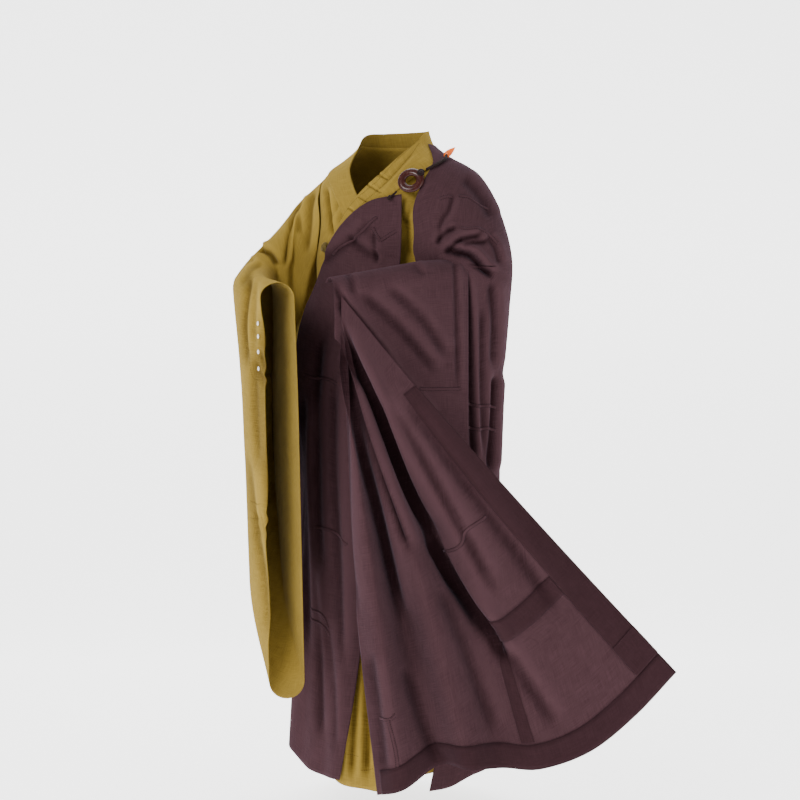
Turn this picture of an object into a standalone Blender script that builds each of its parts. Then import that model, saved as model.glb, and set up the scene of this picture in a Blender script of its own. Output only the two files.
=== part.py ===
"""A Buddhist monk's robe as it is worn, hollow and in one piece of drapery.

Two garments make it: a mustard gown with crossed fronts and very wide hanging sleeves, and a dark
patched outer robe. The outer robe passes under the right arm and round the back, comes forward over
the left shoulder, lies over the left forearm and swings out to a free corner. A ring and a hook
fasten it on the left chest.

Metres, Z up, the front faces -Y and the wearer's left is +X. The origin is on the body's axis at
the height of the shoulders, where the wearer carries the robe. Heights in the tables are measured
up from the ground, and turns are degrees round the axis from the front toward the wearer's left.
"""

import math

import bmesh
import bpy
import numpy as np
from mathutils import Vector

SHOULDER_UP = 1.42
GOWN_WALL = 0.0020
ROBE_WALL = 0.0022
BAND_WALL = 0.0014
SEAM_GAP = 0.0006
ROBE_OUT = 0.013
UNDERLAP_IN = 0.008
UNDERLAP_FROM = -86.0
UNDERLAP_OVER = 40.0
COLLAR_OUT = 0.0042

# The folds of the free corner are laid out as they are seen from the wearer's left front.
VIEW_TURN = math.radians(30)
EYE_DISTANCE = 4.5
EYE_UP = 1.05

# Gown round the body: height, half width, half depth in front and behind.
BODY = (
    ("hem", 0.060, 0.232, 0.205, 0.195),
    ("shin", 0.300, 0.220, 0.188, 0.178),
    ("knee", 0.600, 0.205, 0.170, 0.162),
    ("hip", 0.850, 0.196, 0.156, 0.148),
    ("waist", 1.000, 0.190, 0.147, 0.138),
    ("ribs", 1.150, 0.189, 0.144, 0.132),
    ("chest", 1.280, 0.193, 0.141, 0.130),
    ("shoulder blade", 1.360, 0.188, 0.128, 0.124),
    ("shoulder", 1.405, 0.168, 0.108, 0.112),
    ("shoulder slope", 1.435, 0.120, 0.090, 0.100),
    ("neck foot", 1.460, 0.088, 0.076, 0.086),
    ("neck", 1.490, 0.074, 0.068, 0.074),
    ("collar top", 1.520, 0.068, 0.064, 0.068),
)
BODICE_START_UP = 1.12
BODICE_CROWDING = 1.5
PLEAT_START_UP = 1.02
PLEAT_DEEP = 0.012
# Hem of the gown: turn and height. It dips in the front slit of the outer robe.
GOWN_HEM = ((-90.0, 0.100), (-25.0, 0.098), (4.0, 0.066), (22.0, 0.062), (46.0, 0.098), (90.0, 0.100))

ARMPIT_UP = 1.170
ARM_TOP_UP = 1.408
ARMHOLE_TURN = 32.0
NECK_EDGE_UP = 1.470

# Front edge of the gown's upper front, the left one: height and turn.
LEFT_FRONT_EDGE = (
    (0.060, -46.0),
    (1.120, -46.0),
    (1.200, -42.0),
    (1.276, -28.0),
    (1.343, -9.0),
    (1.400, 18.0),
    (1.440, 45.0),
    (1.470, 80.0),
)
RIGHT_FRONT_EDGE = (
    (0.060, 8.0),
    (1.250, 8.0),
    (1.343, -9.0),
    (1.400, -30.0),
    (1.440, -52.0),
    (1.470, -80.0),
)

# Collar band: turn and height of its neck edge, then of its outer edge.
LEFT_COLLAR = (
    ("side", -44.0, 1.175, -32.0, 1.125),
    ("chest", -28.0, 1.277, -13.0, 1.236),
    ("crossing", -9.0, 1.345, 6.0, 1.300),
    ("collar bone", 18.0, 1.402, 34.0, 1.360),
    ("neck front", 45.0, 1.446, 60.0, 1.404),
    ("neck side", 90.0, 1.492, 92.0, 1.447),
    ("neck back", 135.0, 1.501, 135.0, 1.454),
    ("nape", 179.7, 1.503, 179.7, 1.455),
)
RIGHT_COLLAR = (
    ("nape", -179.7, 1.503, -179.7, 1.455),
    ("neck back", -135.0, 1.501, -135.0, 1.454),
    ("neck side", -90.0, 1.492, -92.0, 1.447),
    ("neck front", -52.0, 1.446, -66.0, 1.404),
    ("collar bone", -30.0, 1.402, -43.0, 1.362),
    ("crossing", -9.0, 1.345, -24.0, 1.305),
    ("under lap", 6.0, 1.270, -10.0, 1.235),
)

# Sleeves, a row for each section: the place over the arm and of the hanging fold as x, y and
# height, the turn of the outer side from +X, and the half thickness at the arm and in the bag.
RIGHT_SLEEVE = (
    ("upper arm", (-0.246, -0.015, 1.345), (-0.250, -0.008, 1.040), 110.0, 0.052, 0.030),
    ("above elbow", (-0.286, -0.040, 1.285), (-0.268, -0.040, 0.880), 140.0, 0.050, 0.028),
    ("elbow", (-0.316, -0.085, 1.218), (-0.288, -0.085, 0.700), 183.0, 0.048, 0.028),
    ("forearm", (-0.242, -0.212, 1.180), (-0.212, -0.195, 0.500), 212.0, 0.044, 0.036),
    ("mouth", (-0.105, -0.320, 1.155), (-0.102, -0.296, 0.262), 221.0, 0.035, 0.038),
)
LEFT_SLEEVE = (
    ("upper arm", (0.222, -0.005, 1.350), (0.220, -0.005, 1.080), 72.0, 0.034, 0.014),
    ("above elbow", (0.232, -0.020, 1.270), (0.224, -0.030, 1.000), 45.0, 0.030, 0.013),
    ("elbow", (0.222, -0.062, 1.205), (0.216, -0.070, 0.960), -8.0, 0.026, 0.013),
    ("forearm", (0.150, -0.190, 1.192), (0.146, -0.194, 0.950), -38.0, 0.038, 0.013),
    ("mouth", (0.026, -0.322, 1.160), (0.026, -0.318, 0.950), -42.0, 0.036, 0.013),
)
# The left sleeve stops short of its mouth row, because the cloth over it hides its end.
LEFT_SLEEVE_END = 0.93
SLEEVE_SIDES = 24
SLEEVE_LOOPS = 15
SLEEVE_RIPPLE = 0.008
RIPPLES = 2.6
ARM_TO_BAG = 0.30

# Outer robe round the body: turn, height of its upper edge and of its hem.
ROBE_EDGES = (
    (37.0, 1.345, 0.083),
    (6.0, 1.330, 0.085),
    (-20.0, 1.283, 0.100),
    (-33.0, 1.240, 0.118),
    (-45.0, 1.180, 0.130),
    (-60.0, 1.120, 0.135),
    (-90.0, 1.075, 0.130),
    (-130.0, 1.120, 0.110),
    (-160.0, 1.210, 0.100),
    (-180.0, 1.280, 0.095),
    (-205.0, 1.360, 0.090),
    (-225.0, 1.415, 0.085),
    (-245.0, 1.452, 0.080),
    (-275.0, 1.462, 0.075),
    (-325.0, 1.462, 0.070),
)
# Hanging end of the robe in front: height and turn.
ROBE_END = ((0.060, -3.0), (0.400, 7.0), (0.700, 16.0), (1.000, 28.0), (1.200, 36.0), (1.350, 37.0))
# Edge of the robe that comes over the left shoulder: height and turn.
SHOULDER_EDGE = (
    (0.060, 72.0),
    (0.900, 68.0),
    (1.120, 67.0),
    (1.185, 66.0),
    (1.212, 65.0),
    (1.226, 57.0),
    (1.234, 47.0),
    (1.260, 44.5),
    (1.320, 45.0),
    (1.368, 52.0),
    (1.400, 60.0),
    (1.440, 74.0),
    (1.462, 84.0),
)
# How far the robe stands out over the left arm: height and depth.
ARM_BULGE = (
    (0.060, 0.012),
    (0.400, 0.018),
    (0.700, 0.034),
    (0.900, 0.052),
    (1.100, 0.080),
    (1.200, 0.086),
    (1.290, 0.060),
    (1.350, 0.031),
    (1.405, 0.008),
    (1.462, 0.000),
)
BULGE_TURN = 84.0
BULGE_SPREAD = 62.0
# How far the robe stands out on the right hip, where it is pulled across: height and depth.
HIP_BULGE = (
    (0.060, 0.000),
    (0.400, 0.006),
    (0.700, 0.014),
    (0.920, 0.020),
    (1.040, 0.011),
    (1.120, 0.000),
)
HIP_TURN = -70.0
HIP_SPREAD = 46.0
RIGHT_SIDE_SEAM = -75.0
BACK_SEAM = -178.0
LEFT_SEAM = -248.0

# Cloth over the left forearm: share of the sleeve's length, drop behind and in front.
FOREARM_DRAPE = (
    (0.685, 0.050, 0.490),
    (0.76, 0.050, 0.410),
    (0.86, 0.045, 0.290),
    (1.00, 0.030, 0.150),
)

CROWN_DROP = 0.075
ARMHOLE_HALF = 0.050

# Swung folds, a row for each ray from the wrist: right, up and near at the upper, lower and
# hem stations, as seen, and how far down the drape the ray begins.
SWUNG_FOLDS = (
    ("slit edge", 0.080, (-0.114, 0.850, 0.350), (-0.086, 0.410, 0.330), (-0.040, 0.007, 0.320)),
    ("first crest", 0.075, (-0.102, 0.846, 0.372), (-0.040, 0.420, 0.385), (0.018, 0.018, 0.372)),
    ("first valley", 0.070, (-0.088, 0.842, 0.356), (0.012, 0.430, 0.320), (0.101, 0.076, 0.310)),
    ("second crest", 0.060, (-0.064, 0.840, 0.380), (0.070, 0.450, 0.380), (0.168, 0.064, 0.365)),
    ("second valley", 0.050, (-0.034, 0.842, 0.345), (0.142, 0.486, 0.305), (0.246, 0.068, 0.318)),
    ("inner field", 0.040, (-0.014, 0.862, 0.370), (0.196, 0.468, 0.345), (0.330, 0.066, 0.318)),
    ("middle field", 0.030, (0.004, 0.880, 0.372), (0.232, 0.490, 0.345), (0.440, 0.106, 0.290)),
    ("outer field", 0.020, (0.026, 0.900, 0.366), (0.282, 0.538, 0.330), (0.540, 0.186, 0.258)),
    ("robe's edge", 0.010, (0.052, 0.920, 0.356), (0.338, 0.600, 0.300), (0.632, 0.284, 0.225)),
)
SWUNG_STOPS = (0.0, 0.33, 0.67, 1.0)
FOLDS_ALONG = 0.985
FOLDS_DROP = 0.055
DRAPE_TOUCH = 0.0006
DRAPE_CLEAR = 0.0016
ELBOW_CLEAR = 0.0080
ELBOW_CLEAR_FROM = 0.60
ELBOW_CLEAR_OVER = 0.28
FOLDS_END = 4.0
FOLDS_COLUMNS = 18
SEAM_DEGREES = 0.08
ROBE_TOP_OUT = 0.0072
ROBE_BODICE_SHARE = 0.72
ROBE_CLOSE_FROM = 1.36
ROBE_CLOSE_OVER = 0.08

# The swung corner's lines: rows from the wrist to the hem, columns across field and border.
PANEL_ROWS = (
    *(0.0, 0.08, 0.16, 0.24, 0.32, 0.40, 0.48, 0.56, 0.64),
    *(0.725, 0.765, 0.769, 0.83, 0.89, 0.951, 0.955, 1.0),
)
FIELD_COLUMNS = 10
FIELD_SEAM_SHARE = 0.996
BORDER_COLUMNS = 2
BORDER_RAYS = 1.9
BORDER_NARROWS = 0.4
BAND_TOUCH = 0.0005
# Doubled bands on the panel: name, first and last column and row of the panel's lines, and layer.
PANEL_BANDS = (
    ("robe_border_band", (29, 32), (4, 15), 1),
    ("robe_hem_band", (1, 32), (15, 17), 1),
    ("robe_cross_band", (19, 29), (9, 11), 1),
    ("robe_strip_band", (20, 22), (11, 15), 1),
    ("robe_corner_patch", (29, 32), (13, 15), 2),
)

RING_TURN = 44.5
RING_UP = 1.371
RING_RADIUS = 0.0205
RING_HALF = 0.0088
RING_THICK = 0.0110
CLASP_CLEAR = -0.0026
HOOK_RADIUS = 0.0030
# Places over the robe: turn, height and distance out.
HOOK_ROUTE = (
    (56.5, 1.394, 0.0036),
    (64.0, 1.404, 0.0038),
    (74.0, 1.416, 0.0038),
    (84.0, 1.428, 0.0054),
)
LEAF_RADII = (0.0070, 0.0045, 0.0130)
LOOP_RADIUS = 0.0020
LOOP_ROUTE = ((33.5, 1.350, 0.0026), (32.0, 1.345, 0.0032), (30.0, 1.341, 0.0042))
KNOT_RADII = (0.0050, 0.0050, 0.0060)

SNAP_RADIUS = 0.0050
SNAP_THICK = 0.0030
SNAP_BACK = 0.25
# Snap halves by the sleeve's mouth: place among the section's sides, from the arm down.
SNAPS = (2.45, 2.85, 3.25, 3.65, 20.6)
TIE_TURN = -46.0
TIE_UP = 1.238
TIE_RADII = (0.0120, 0.0100, 0.0060)

FINISHES = {
    "gown_cloth": ((0.300, 0.200, 0.045), 0.85, 0.0),
    "robe_cloth": ((0.060, 0.030, 0.033), 0.80, 0.0),
    "ring_lacquer": ((0.045, 0.010, 0.008), 0.15, 0.0),
    "amber": ((0.800, 0.180, 0.020), 0.20, 0.0),
    "dark_cord": ((0.010, 0.008, 0.008), 0.60, 0.0),
    "snap_shell": ((0.700, 0.680, 0.640), 0.25, 0.0),
}


def clear_scene():
    for thing in list(bpy.data.objects):
        bpy.data.objects.remove(thing, do_unlink=True)


def finish(name):
    """The Principled material of this name."""
    made = bpy.data.materials.get(name)
    if made:
        return made
    colour, roughness, metallic = FINISHES[name]
    made = bpy.data.materials.new(name)
    made.use_nodes = True
    shader = made.node_tree.nodes["Principled BSDF"]
    shader.inputs["Base Color"].default_value = (*colour, 1.0)
    shader.inputs["Roughness"].default_value = roughness
    shader.inputs["Metallic"].default_value = metallic
    return made


def through(knots, values, at):
    """A smooth curve through values at rising knots: cubic pieces with slopes of mean chords."""
    knots = np.asarray(knots, float)
    values = np.asarray(values, float)
    at = np.clip(np.asarray(at, float), knots[0], knots[-1])
    extra = (1,) * (values.ndim - 1)
    chord = np.diff(values, axis=0) / np.diff(knots).reshape(-1, *extra)
    slope = np.concatenate([chord[:1], (chord[1:] + chord[:-1]) / 2, chord[-1:]])
    low = np.clip(np.searchsorted(knots, at, side="right") - 1, 0, len(knots) - 2)
    shape = at.shape + extra
    step = np.reshape(knots[low + 1] - knots[low], shape)
    t = np.reshape(at - knots[low], shape) / step
    rise = t * t * (3 - 2 * t)
    ease_in = t * (1 - t) ** 2 * step
    ease_out = t * t * (t - 1) * step
    ends = values[low] * (1 - rise) + values[low + 1] * rise
    return ends + slope[low] * ease_in + slope[low + 1] * ease_out


def column(table, index):
    return [row[index] for row in table]


def soft_step(value):
    value = np.clip(value, 0.0, 1.0)
    return value * value * (3 - 2 * value)


def seen(right, up, near):
    """The place that shows at right and up in the plane of the axis, moved near along the sight line."""
    reach = 1 - near / EYE_DISTANCE
    across = right * reach
    height = EYE_UP + (up - EYE_UP) * reach
    x = across * math.cos(VIEW_TURN) + near * math.sin(VIEW_TURN)
    y = across * math.sin(VIEW_TURN) - near * math.cos(VIEW_TURN)
    return np.stack([x, y, height - SHOULDER_UP], axis=-1)


def unit(vectors):
    return vectors / np.linalg.norm(vectors, axis=-1, keepdims=True)


def pleats(turn, up):
    """Waves of the skirt: none above the waist, deepest at the hem."""
    depth = PLEAT_DEEP * soft_step((PLEAT_START_UP - up) / PLEAT_START_UP)
    angle = np.radians(turn)
    return depth * (0.6 * np.cos(9 * angle + 1.0) + 0.4 * np.cos(14 * angle + 0.4))


def bell(turn, middle, spread):
    """1 at the middle turn and 0 beyond the spread, as a squared cosine."""
    away = (np.mod(turn - middle + 180, 360) - 180) / spread
    return np.where(np.abs(away) < 1, np.cos(away * math.pi / 2) ** 2, 0)


def robe_bulge(turn, up):
    """Extra radius of the outer robe, over the left arm and on the right hip."""
    arm = bell(turn, BULGE_TURN, BULGE_SPREAD) * through(column(ARM_BULGE, 0), column(ARM_BULGE, 1), up)
    hip = bell(turn, HIP_TURN, HIP_SPREAD) * through(column(HIP_BULGE, 0), column(HIP_BULGE, 1), up)
    return arm + hip


def body_point(turn, up, bulge=0.0):
    """The gown's surface: an ellipse at each height, deeper or shallower in front than behind."""
    knots = column(BODY, 1)
    side = through(knots, column(BODY, 2), up)
    front = through(knots, column(BODY, 3), up)
    back = through(knots, column(BODY, 4), up)
    angle = np.radians(turn)
    depth = np.where(np.cos(angle) > 0, front, back)
    radius = 1 / np.sqrt((np.sin(angle) / side) ** 2 + (np.cos(angle) / depth) ** 2)
    radius = radius + pleats(turn, up) + bulge * robe_bulge(turn, up)
    return np.stack([radius * np.sin(angle), -radius * np.cos(angle), up - SHOULDER_UP], axis=-1)


def over_body(turn, up, out, bulge=0.0):
    """The gown's surface moved out along its own normal."""
    turn, up, out = np.broadcast_arrays(turn, up, out)
    small_turn, small_up = 0.5, 0.002
    across = body_point(turn + small_turn, up, bulge) - body_point(turn - small_turn, up, bulge)
    along = body_point(turn, up + small_up, bulge) - body_point(turn, up - small_up, bulge)
    normal = unit(np.cross(across, along))
    return body_point(turn, up, bulge) + normal * out[..., None]


def grid_normals(grid, ring):
    if ring:
        across = np.roll(grid, -1, axis=0) - np.roll(grid, 1, axis=0)
    else:
        across = np.gradient(grid, axis=0)
    return unit(np.cross(across, np.gradient(grid, axis=1)))


def wall_mesh(grid, thickness, ring):
    """Points and faces of a closed wall on a grid: an outer and an inner skin and the rim."""
    wide, high = grid.shape[:2]
    normal = grid_normals(grid, ring)
    points = np.concatenate([(grid + side * normal * thickness / 2).reshape(-1, 3) for side in (1, -1)])
    number = np.arange(wide * high).reshape(wide, high)
    if ring:
        number = np.concatenate([number, number[:1]])
    a, b = number[:-1, :-1].ravel(), number[1:, :-1].ravel()
    c, d = number[1:, 1:].ravel(), number[:-1, 1:].ravel()
    inside = wide * high
    faces = [np.stack([a, b, c, d], 1), np.stack([a, d, c, b], 1) + inside]
    rims = [number[::-1, 0], number[:, -1]]
    if not ring:
        rims += [number[0], number[-1, ::-1]]
    for rim in rims:
        p, q = rim[:-1], rim[1:]
        faces.append(np.stack([p, p + inside, q + inside, q], 1)[:, ::-1])
    return points, np.concatenate(faces)


def add_mesh(name, points, faces, finish_name):
    """A smooth-shaded object, its faces turned outward."""
    mesh = bpy.data.meshes.new(name)
    mesh.from_pydata([tuple(p) for p in points], [], [tuple(int(i) for i in f) for f in faces])
    mesh.materials.append(finish(finish_name))
    mesh.shade_smooth()
    thing = bpy.data.objects.new(name, mesh)
    bpy.context.scene.collection.objects.link(thing)
    return thing


def wall(name, grid, thickness, finish_name, ring=False):
    points, faces = wall_mesh(grid, thickness, ring)
    return add_mesh(name, points, faces, finish_name)


def bodice_rows(bottom, top, skirt=9, bodice=12, bend=BODICE_START_UP):
    """Heights for a panel: wide steps in the skirt, close ones on the shoulder."""
    low = np.linspace(bottom, bend, skirt)
    share = np.linspace(0, 1, bodice + 1)[1:]
    return np.concatenate([low, bend + (top - bend) * (1 - (1 - share) ** BODICE_CROWDING)])


def gown_rows(turn_from, turn_to, wide):
    """Heights of a gown panel's rows, column by column, from a hem that dips in front."""
    nominal = np.minimum(np.linspace(turn_from, turn_to, wide), 90)[:, None]
    hem = through(column(GOWN_HEM, 0), column(GOWN_HEM, 1), nominal)
    rows = bodice_rows(0.0, NECK_EDGE_UP, bend=BODICE_START_UP)[None, :]
    return hem + (NECK_EDGE_UP - hem) * rows / NECK_EDGE_UP


def armhole_turn(up):
    """Degrees by which the armhole's edge stands away from the side line."""
    share = np.clip((up - ARMPIT_UP) / (ARM_TOP_UP - ARMPIT_UP), 0, 1)
    return ARMHOLE_TURN * np.sin(math.pi * share) ** 0.7


def seam_turn(up):
    """Half a seam's gap as degrees at this height."""
    return np.degrees(SEAM_GAP / 2 / np.linalg.norm(body_point(90.0, up)[..., :2], axis=-1))


def edge_turn(table, up):
    return through(column(table, 0), column(table, 1), up)


def underlap(turn):
    """How far the right front lies inside the left one: none at the side, full in front."""
    return -UNDERLAP_IN * soft_step((np.asarray(turn, float) - UNDERLAP_FROM) / UNDERLAP_OVER)


def left_front_grid(wide=15):
    up = gown_rows(LEFT_FRONT_EDGE[0][1], 90.0, wide)
    side = 90 - armhole_turn(up) - seam_turn(up)
    share = np.linspace(0, 1, wide)[:, None]
    edge = edge_turn(LEFT_FRONT_EDGE, up)
    return over_body(edge + (side - edge) * share, up, 0.0)


def right_front_grid(wide=12):
    up = gown_rows(-90.0, RIGHT_FRONT_EDGE[0][1], wide)
    side = -(90 - armhole_turn(up) - seam_turn(up))
    share = np.linspace(0, 1, wide)[:, None]
    edge = edge_turn(RIGHT_FRONT_EDGE, up)
    turn = side + (edge - side) * share
    return over_body(turn, up, underlap(turn))


def back_grid(wide=17):
    up = gown_rows(90.0, 270.0, wide)
    start = 90 + armhole_turn(up) + seam_turn(up)
    share = np.linspace(0, 1, wide)[:, None]
    return over_body(start + (360 - 2 * start) * share, up, 0.0)


def collar_grid(table, lapped, long=17, wide=4):
    knots = np.arange(len(table))
    at = np.linspace(0, len(table) - 1, long)[:, None]
    inner_turn, inner_up, outer_turn, outer_up = (
        through(knots, column(table, index), at) for index in range(1, 5)
    )
    share = np.linspace(0, 1, wide)[None, :]
    turn = inner_turn + (outer_turn - inner_turn) * share
    up = inner_up + (outer_up - inner_up) * share
    return over_body(turn, up, COLLAR_OUT + lapped * underlap(turn))


def drop_loop(over, under, face, arm_half, bag_half, sides):
    """A section of a sleeve: a loop that is round over the arm and hangs to a narrow fold."""
    round_turn = 2 * math.pi * np.arange(sides) / sides
    share = (1 - np.cos(round_turn)) / 2
    over, under = np.array(over), np.array(under)
    long = np.linalg.norm(over - under)
    half = arm_half + (bag_half - arm_half) * soft_step(share * long / ARM_TO_BAG)
    top_cap = np.sqrt(1 - (1 - np.clip(share * long / arm_half, 0, 1)) ** 2)
    low_cap = np.sqrt(1 - (1 - np.clip((1 - share) * long / bag_half, 0, 1)) ** 2)
    half = half * np.minimum(top_cap, low_cap) * np.sign(np.sin(round_turn) + 1e-12)
    outward = np.array([math.cos(math.radians(face)), math.sin(math.radians(face)), 0])
    centre = over + (under - over) * share[:, None]
    return centre + outward * half[:, None] - np.array([0, 0, SHOULDER_UP])


def armhole_loop(side, sides):
    """The gown's armhole as a loop from the shoulder round the back to the armpit and up the front."""
    round_turn = 2 * math.pi * np.arange(sides) / sides
    share = (1 - np.cos(round_turn)) / 2
    up = ARM_TOP_UP - share * (ARM_TOP_UP - ARMPIT_UP)
    turn = side * (90 + np.sign(np.sin(round_turn) + 1e-12) * armhole_turn(up))
    loop = over_body(turn, up, underlap(turn) if side < 0 else 0.0)
    loop[:, 0] += side * (GOWN_WALL + SEAM_GAP)
    return loop


def sleeve_point(table, side, along, sides=SLEEVE_SIDES):
    """Loops of a sleeve at shares of its length, from the armhole to the mouth."""
    rows = [armhole_loop(side, sides)]
    rows += [drop_loop(*row[1:], sides) for row in table]
    at = np.asarray(along, float) * len(table)
    return through(np.arange(len(rows)), np.stack(rows), at)


def sleeve_grid(table, side, long, ripple, end=1.0):
    """A whole sleeve: loops from the armhole to its end, with a slow ripple of the hanging bag."""
    along = np.linspace(0, end, long)
    loops = sleeve_point(table, side, along)
    low = (1 - np.cos(2 * math.pi * np.arange(SLEEVE_SIDES) / SLEEVE_SIDES)) / 2
    face = through(np.arange(len(table) + 1), [90.0 * side, *column(table, 3)], along * len(table))
    outward = np.stack([np.cos(np.radians(face)), np.sin(np.radians(face)), 0 * face], axis=-1)
    wave = ripple * np.sin(2 * math.pi * RIPPLES * along) * soft_step(along * 3)
    return np.swapaxes(loops + wave[:, None, None] * low[None, :, None] * outward[:, None], 0, 1)


def robe_out(up):
    """How far the outer robe's middle lies out from the gown: closer on top of the shoulder."""
    close = soft_step((np.asarray(up, float) - ROBE_CLOSE_FROM) / ROBE_CLOSE_OVER)
    return ROBE_OUT + (ROBE_TOP_OUT - ROBE_OUT) * close


def right_sleeve_grid():
    return sleeve_grid(RIGHT_SLEEVE, -1, SLEEVE_LOOPS, SLEEVE_RIPPLE)


def robe_grid(turn_from, turn_to, wide, skirt=8, bodice=9, start_edge=None, end_edge=None):
    """A stretch of the outer robe round the body, between two turns, from hem to upper edge."""
    nominal = np.linspace(turn_from, turn_to, wide)[:, None]
    rising = ROBE_EDGES[::-1]
    top = through(column(rising, 0), column(rising, 1), nominal)
    hem = through(column(rising, 0), column(rising, 2), nominal)
    rows = bodice_rows(0.0, 1.0, skirt, bodice, bend=ROBE_BODICE_SHARE)[None, :]
    up = hem + (top - hem) * rows
    first = turn_from if start_edge is None else edge_turn(start_edge, up) - 360
    last = turn_to if end_edge is None else edge_turn(end_edge, up)
    part = (nominal - turn_from) / (turn_to - turn_from)
    turn = first + (last - first) * part
    return over_body(turn, up, robe_out(up), bulge=1.0)


def drape_point(along, drop):
    """The cloth over the left forearm: below the arm's crown it hangs straight, behind and in front.

    A drop under 0 is behind the arm, toward the body, and over 0 in front of it.
    """
    along, drop = np.broadcast_arrays(np.asarray(along, float), np.asarray(drop, float))
    knots = np.arange(len(LEFT_SLEEVE) + 1)
    at = along * len(LEFT_SLEEVE)
    first = armhole_loop(1, SLEEVE_SIDES)[0] + np.array([0, 0, SHOULDER_UP])
    crown = through(knots, [first, *column(LEFT_SLEEVE, 1)], at)
    face = np.radians(through(knots, [90.0, *column(LEFT_SLEEVE, 3)], at))
    close = soft_step((along - ELBOW_CLEAR_FROM) / ELBOW_CLEAR_OVER)
    clear = ELBOW_CLEAR + (DRAPE_CLEAR - ELBOW_CLEAR) * close
    lift = (GOWN_WALL + ROBE_WALL) / 2 + clear
    half = through(knots, [ARMHOLE_HALF, *column(LEFT_SLEEVE, 4)], at) + lift
    bend = half * math.pi / 2
    turn = np.clip(np.abs(drop) / bend, 0, 1) * math.pi / 2
    side = np.sign(drop) * half * np.sin(turn)
    fall = half * (1 - np.cos(turn)) + np.clip(np.abs(drop) - bend, 0, None)
    outward = np.stack([np.cos(face), np.sin(face), 0 * face], axis=-1)
    place = crown + outward * side[..., None]
    place[..., 2] += lift - fall - SHOULDER_UP
    return place


def drape_grid(wide=13, crown=12, low=8):
    """The cloth over the forearm: close rows over the arm's crown, wide ones where it hangs."""
    along = np.linspace(FOREARM_DRAPE[0][0], FOREARM_DRAPE[-1][0], wide)[:, None]
    behind = through(column(FOREARM_DRAPE, 0), column(FOREARM_DRAPE, 1), along)
    before = through(column(FOREARM_DRAPE, 0), column(FOREARM_DRAPE, 2), along)
    crown_rows = np.linspace(-1, 1, crown)[None, :]
    low_rows = np.linspace(0, 1, low + 1)[None, 1:]
    near_drop = np.where(crown_rows < 0, crown_rows * behind, crown_rows * CROWN_DROP)
    drop = np.concatenate([near_drop, CROWN_DROP + (before - CROWN_DROP) * low_rows], axis=1)
    return drape_point(along, drop)


def swung_net():
    """Rays of the swung folds: each starts on the drape by the wrist and runs to the hem."""
    face = math.radians(LEFT_SLEEVE[-1][3])
    off_drape = np.array([math.cos(face), math.sin(face), 0]) * (ROBE_WALL + DRAPE_TOUCH)
    rays = []
    for name, start, *stations in SWUNG_FOLDS:
        top = drape_point(FOLDS_ALONG, start + FOLDS_DROP) + off_drape
        rays.append([top, *(seen(*station) for station in stations)])
    return np.array(rays)


def swung_point(ray, along):
    """A place on the swung folds, by ray number and share of the way from wrist to hem."""
    net = swung_net()
    ray, along = np.broadcast_arrays(np.asarray(ray, float), np.asarray(along, float))
    ray_weights = through(np.arange(len(net)), np.eye(len(net)), ray)
    stop_weights = through(SWUNG_STOPS, np.eye(len(SWUNG_STOPS)), along)
    return np.einsum("...r,...s,rsk->...k", ray_weights, stop_weights, net)


def border_ray(along):
    """Inner line of the border along the robe's edge, as a ray number at shares of its length."""
    return len(SWUNG_FOLDS) - 1 - BORDER_RAYS / (1 + along / BORDER_NARROWS)


def swung_grid():
    """The folds and the swung corner: one of its lines follows the border's inner edge all the way."""
    along = np.array(PANEL_ROWS)[None, :]
    border = border_ray(along)
    folds = np.linspace(0, FOLDS_END, FOLDS_COLUMNS + 1)[:-1, None] + 0 * along
    share = np.append(np.linspace(0, 1, FIELD_COLUMNS + 1), FIELD_SEAM_SHARE)
    field = FOLDS_END + (border - FOLDS_END) * np.sort(share)[:, None]
    outer = np.linspace(0, 1, BORDER_COLUMNS + 1)[1:, None]
    edge = border + (len(SWUNG_FOLDS) - 1 - border) * outer
    ray = np.concatenate([folds, field, edge])
    return swung_point(ray, along)


def raised(grid, columns, rows, layer=1):
    """Part of a panel's grid moved out, for a band that lies on it."""
    rise = (ROBE_WALL + BAND_WALL) / 2 + BAND_TOUCH + (layer - 1) * (BAND_WALL + BAND_TOUCH)
    part = grid - grid_normals(grid, ring=False) * rise
    return part[columns[0]:columns[1], rows[0]:rows[1]]


def turned_ring(name, centre, axis, radius, half_wide, half_high, finish_name, around=28, sides=10):
    """A ring of oval section about an axis."""
    axis = unit(np.asarray(axis, float))
    first = unit(np.cross(axis, [0.0, 0.3, 1.0]))
    second = np.cross(axis, first)
    turn = np.linspace(0, 2 * math.pi, around, endpoint=False)[:, None, None]
    roll = np.linspace(0, 2 * math.pi, sides, endpoint=False)[None, :, None]
    out = first * np.cos(turn) + second * np.sin(turn)
    points = centre + out * (radius + half_wide * np.cos(roll)) + axis * half_high * np.sin(roll)
    number = np.arange(around * sides).reshape(around, sides)
    ahead, aside = np.roll(number, -1, axis=0), np.roll(number, -1, axis=1)
    both = np.roll(ahead, -1, axis=1)
    faces = np.stack([number, ahead, both, aside], axis=-1).reshape(-1, 4)
    return add_mesh(name, points.reshape(-1, 3), faces, finish_name)


def bead(name, centre, radii, finish_name, axis=(0.0, 0.0, 1.0), segments=12, rings=8):
    """An egg-shaped bead whose long way lies along an axis."""
    mesh = bpy.data.meshes.new(name)
    shape = bmesh.new()
    bmesh.ops.create_uvsphere(shape, u_segments=segments, v_segments=rings, radius=1.0)
    turn = Vector((0, 0, 1)).rotation_difference(Vector(axis)).to_matrix()
    for corner in shape.verts:
        corner.co = turn @ Vector([c * r for c, r in zip(corner.co, radii)]) + Vector(centre)
    shape.to_mesh(mesh)
    shape.free()
    mesh.materials.append(finish(finish_name))
    mesh.shade_smooth()
    thing = bpy.data.objects.new(name, mesh)
    bpy.context.scene.collection.objects.link(thing)
    return thing


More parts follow.
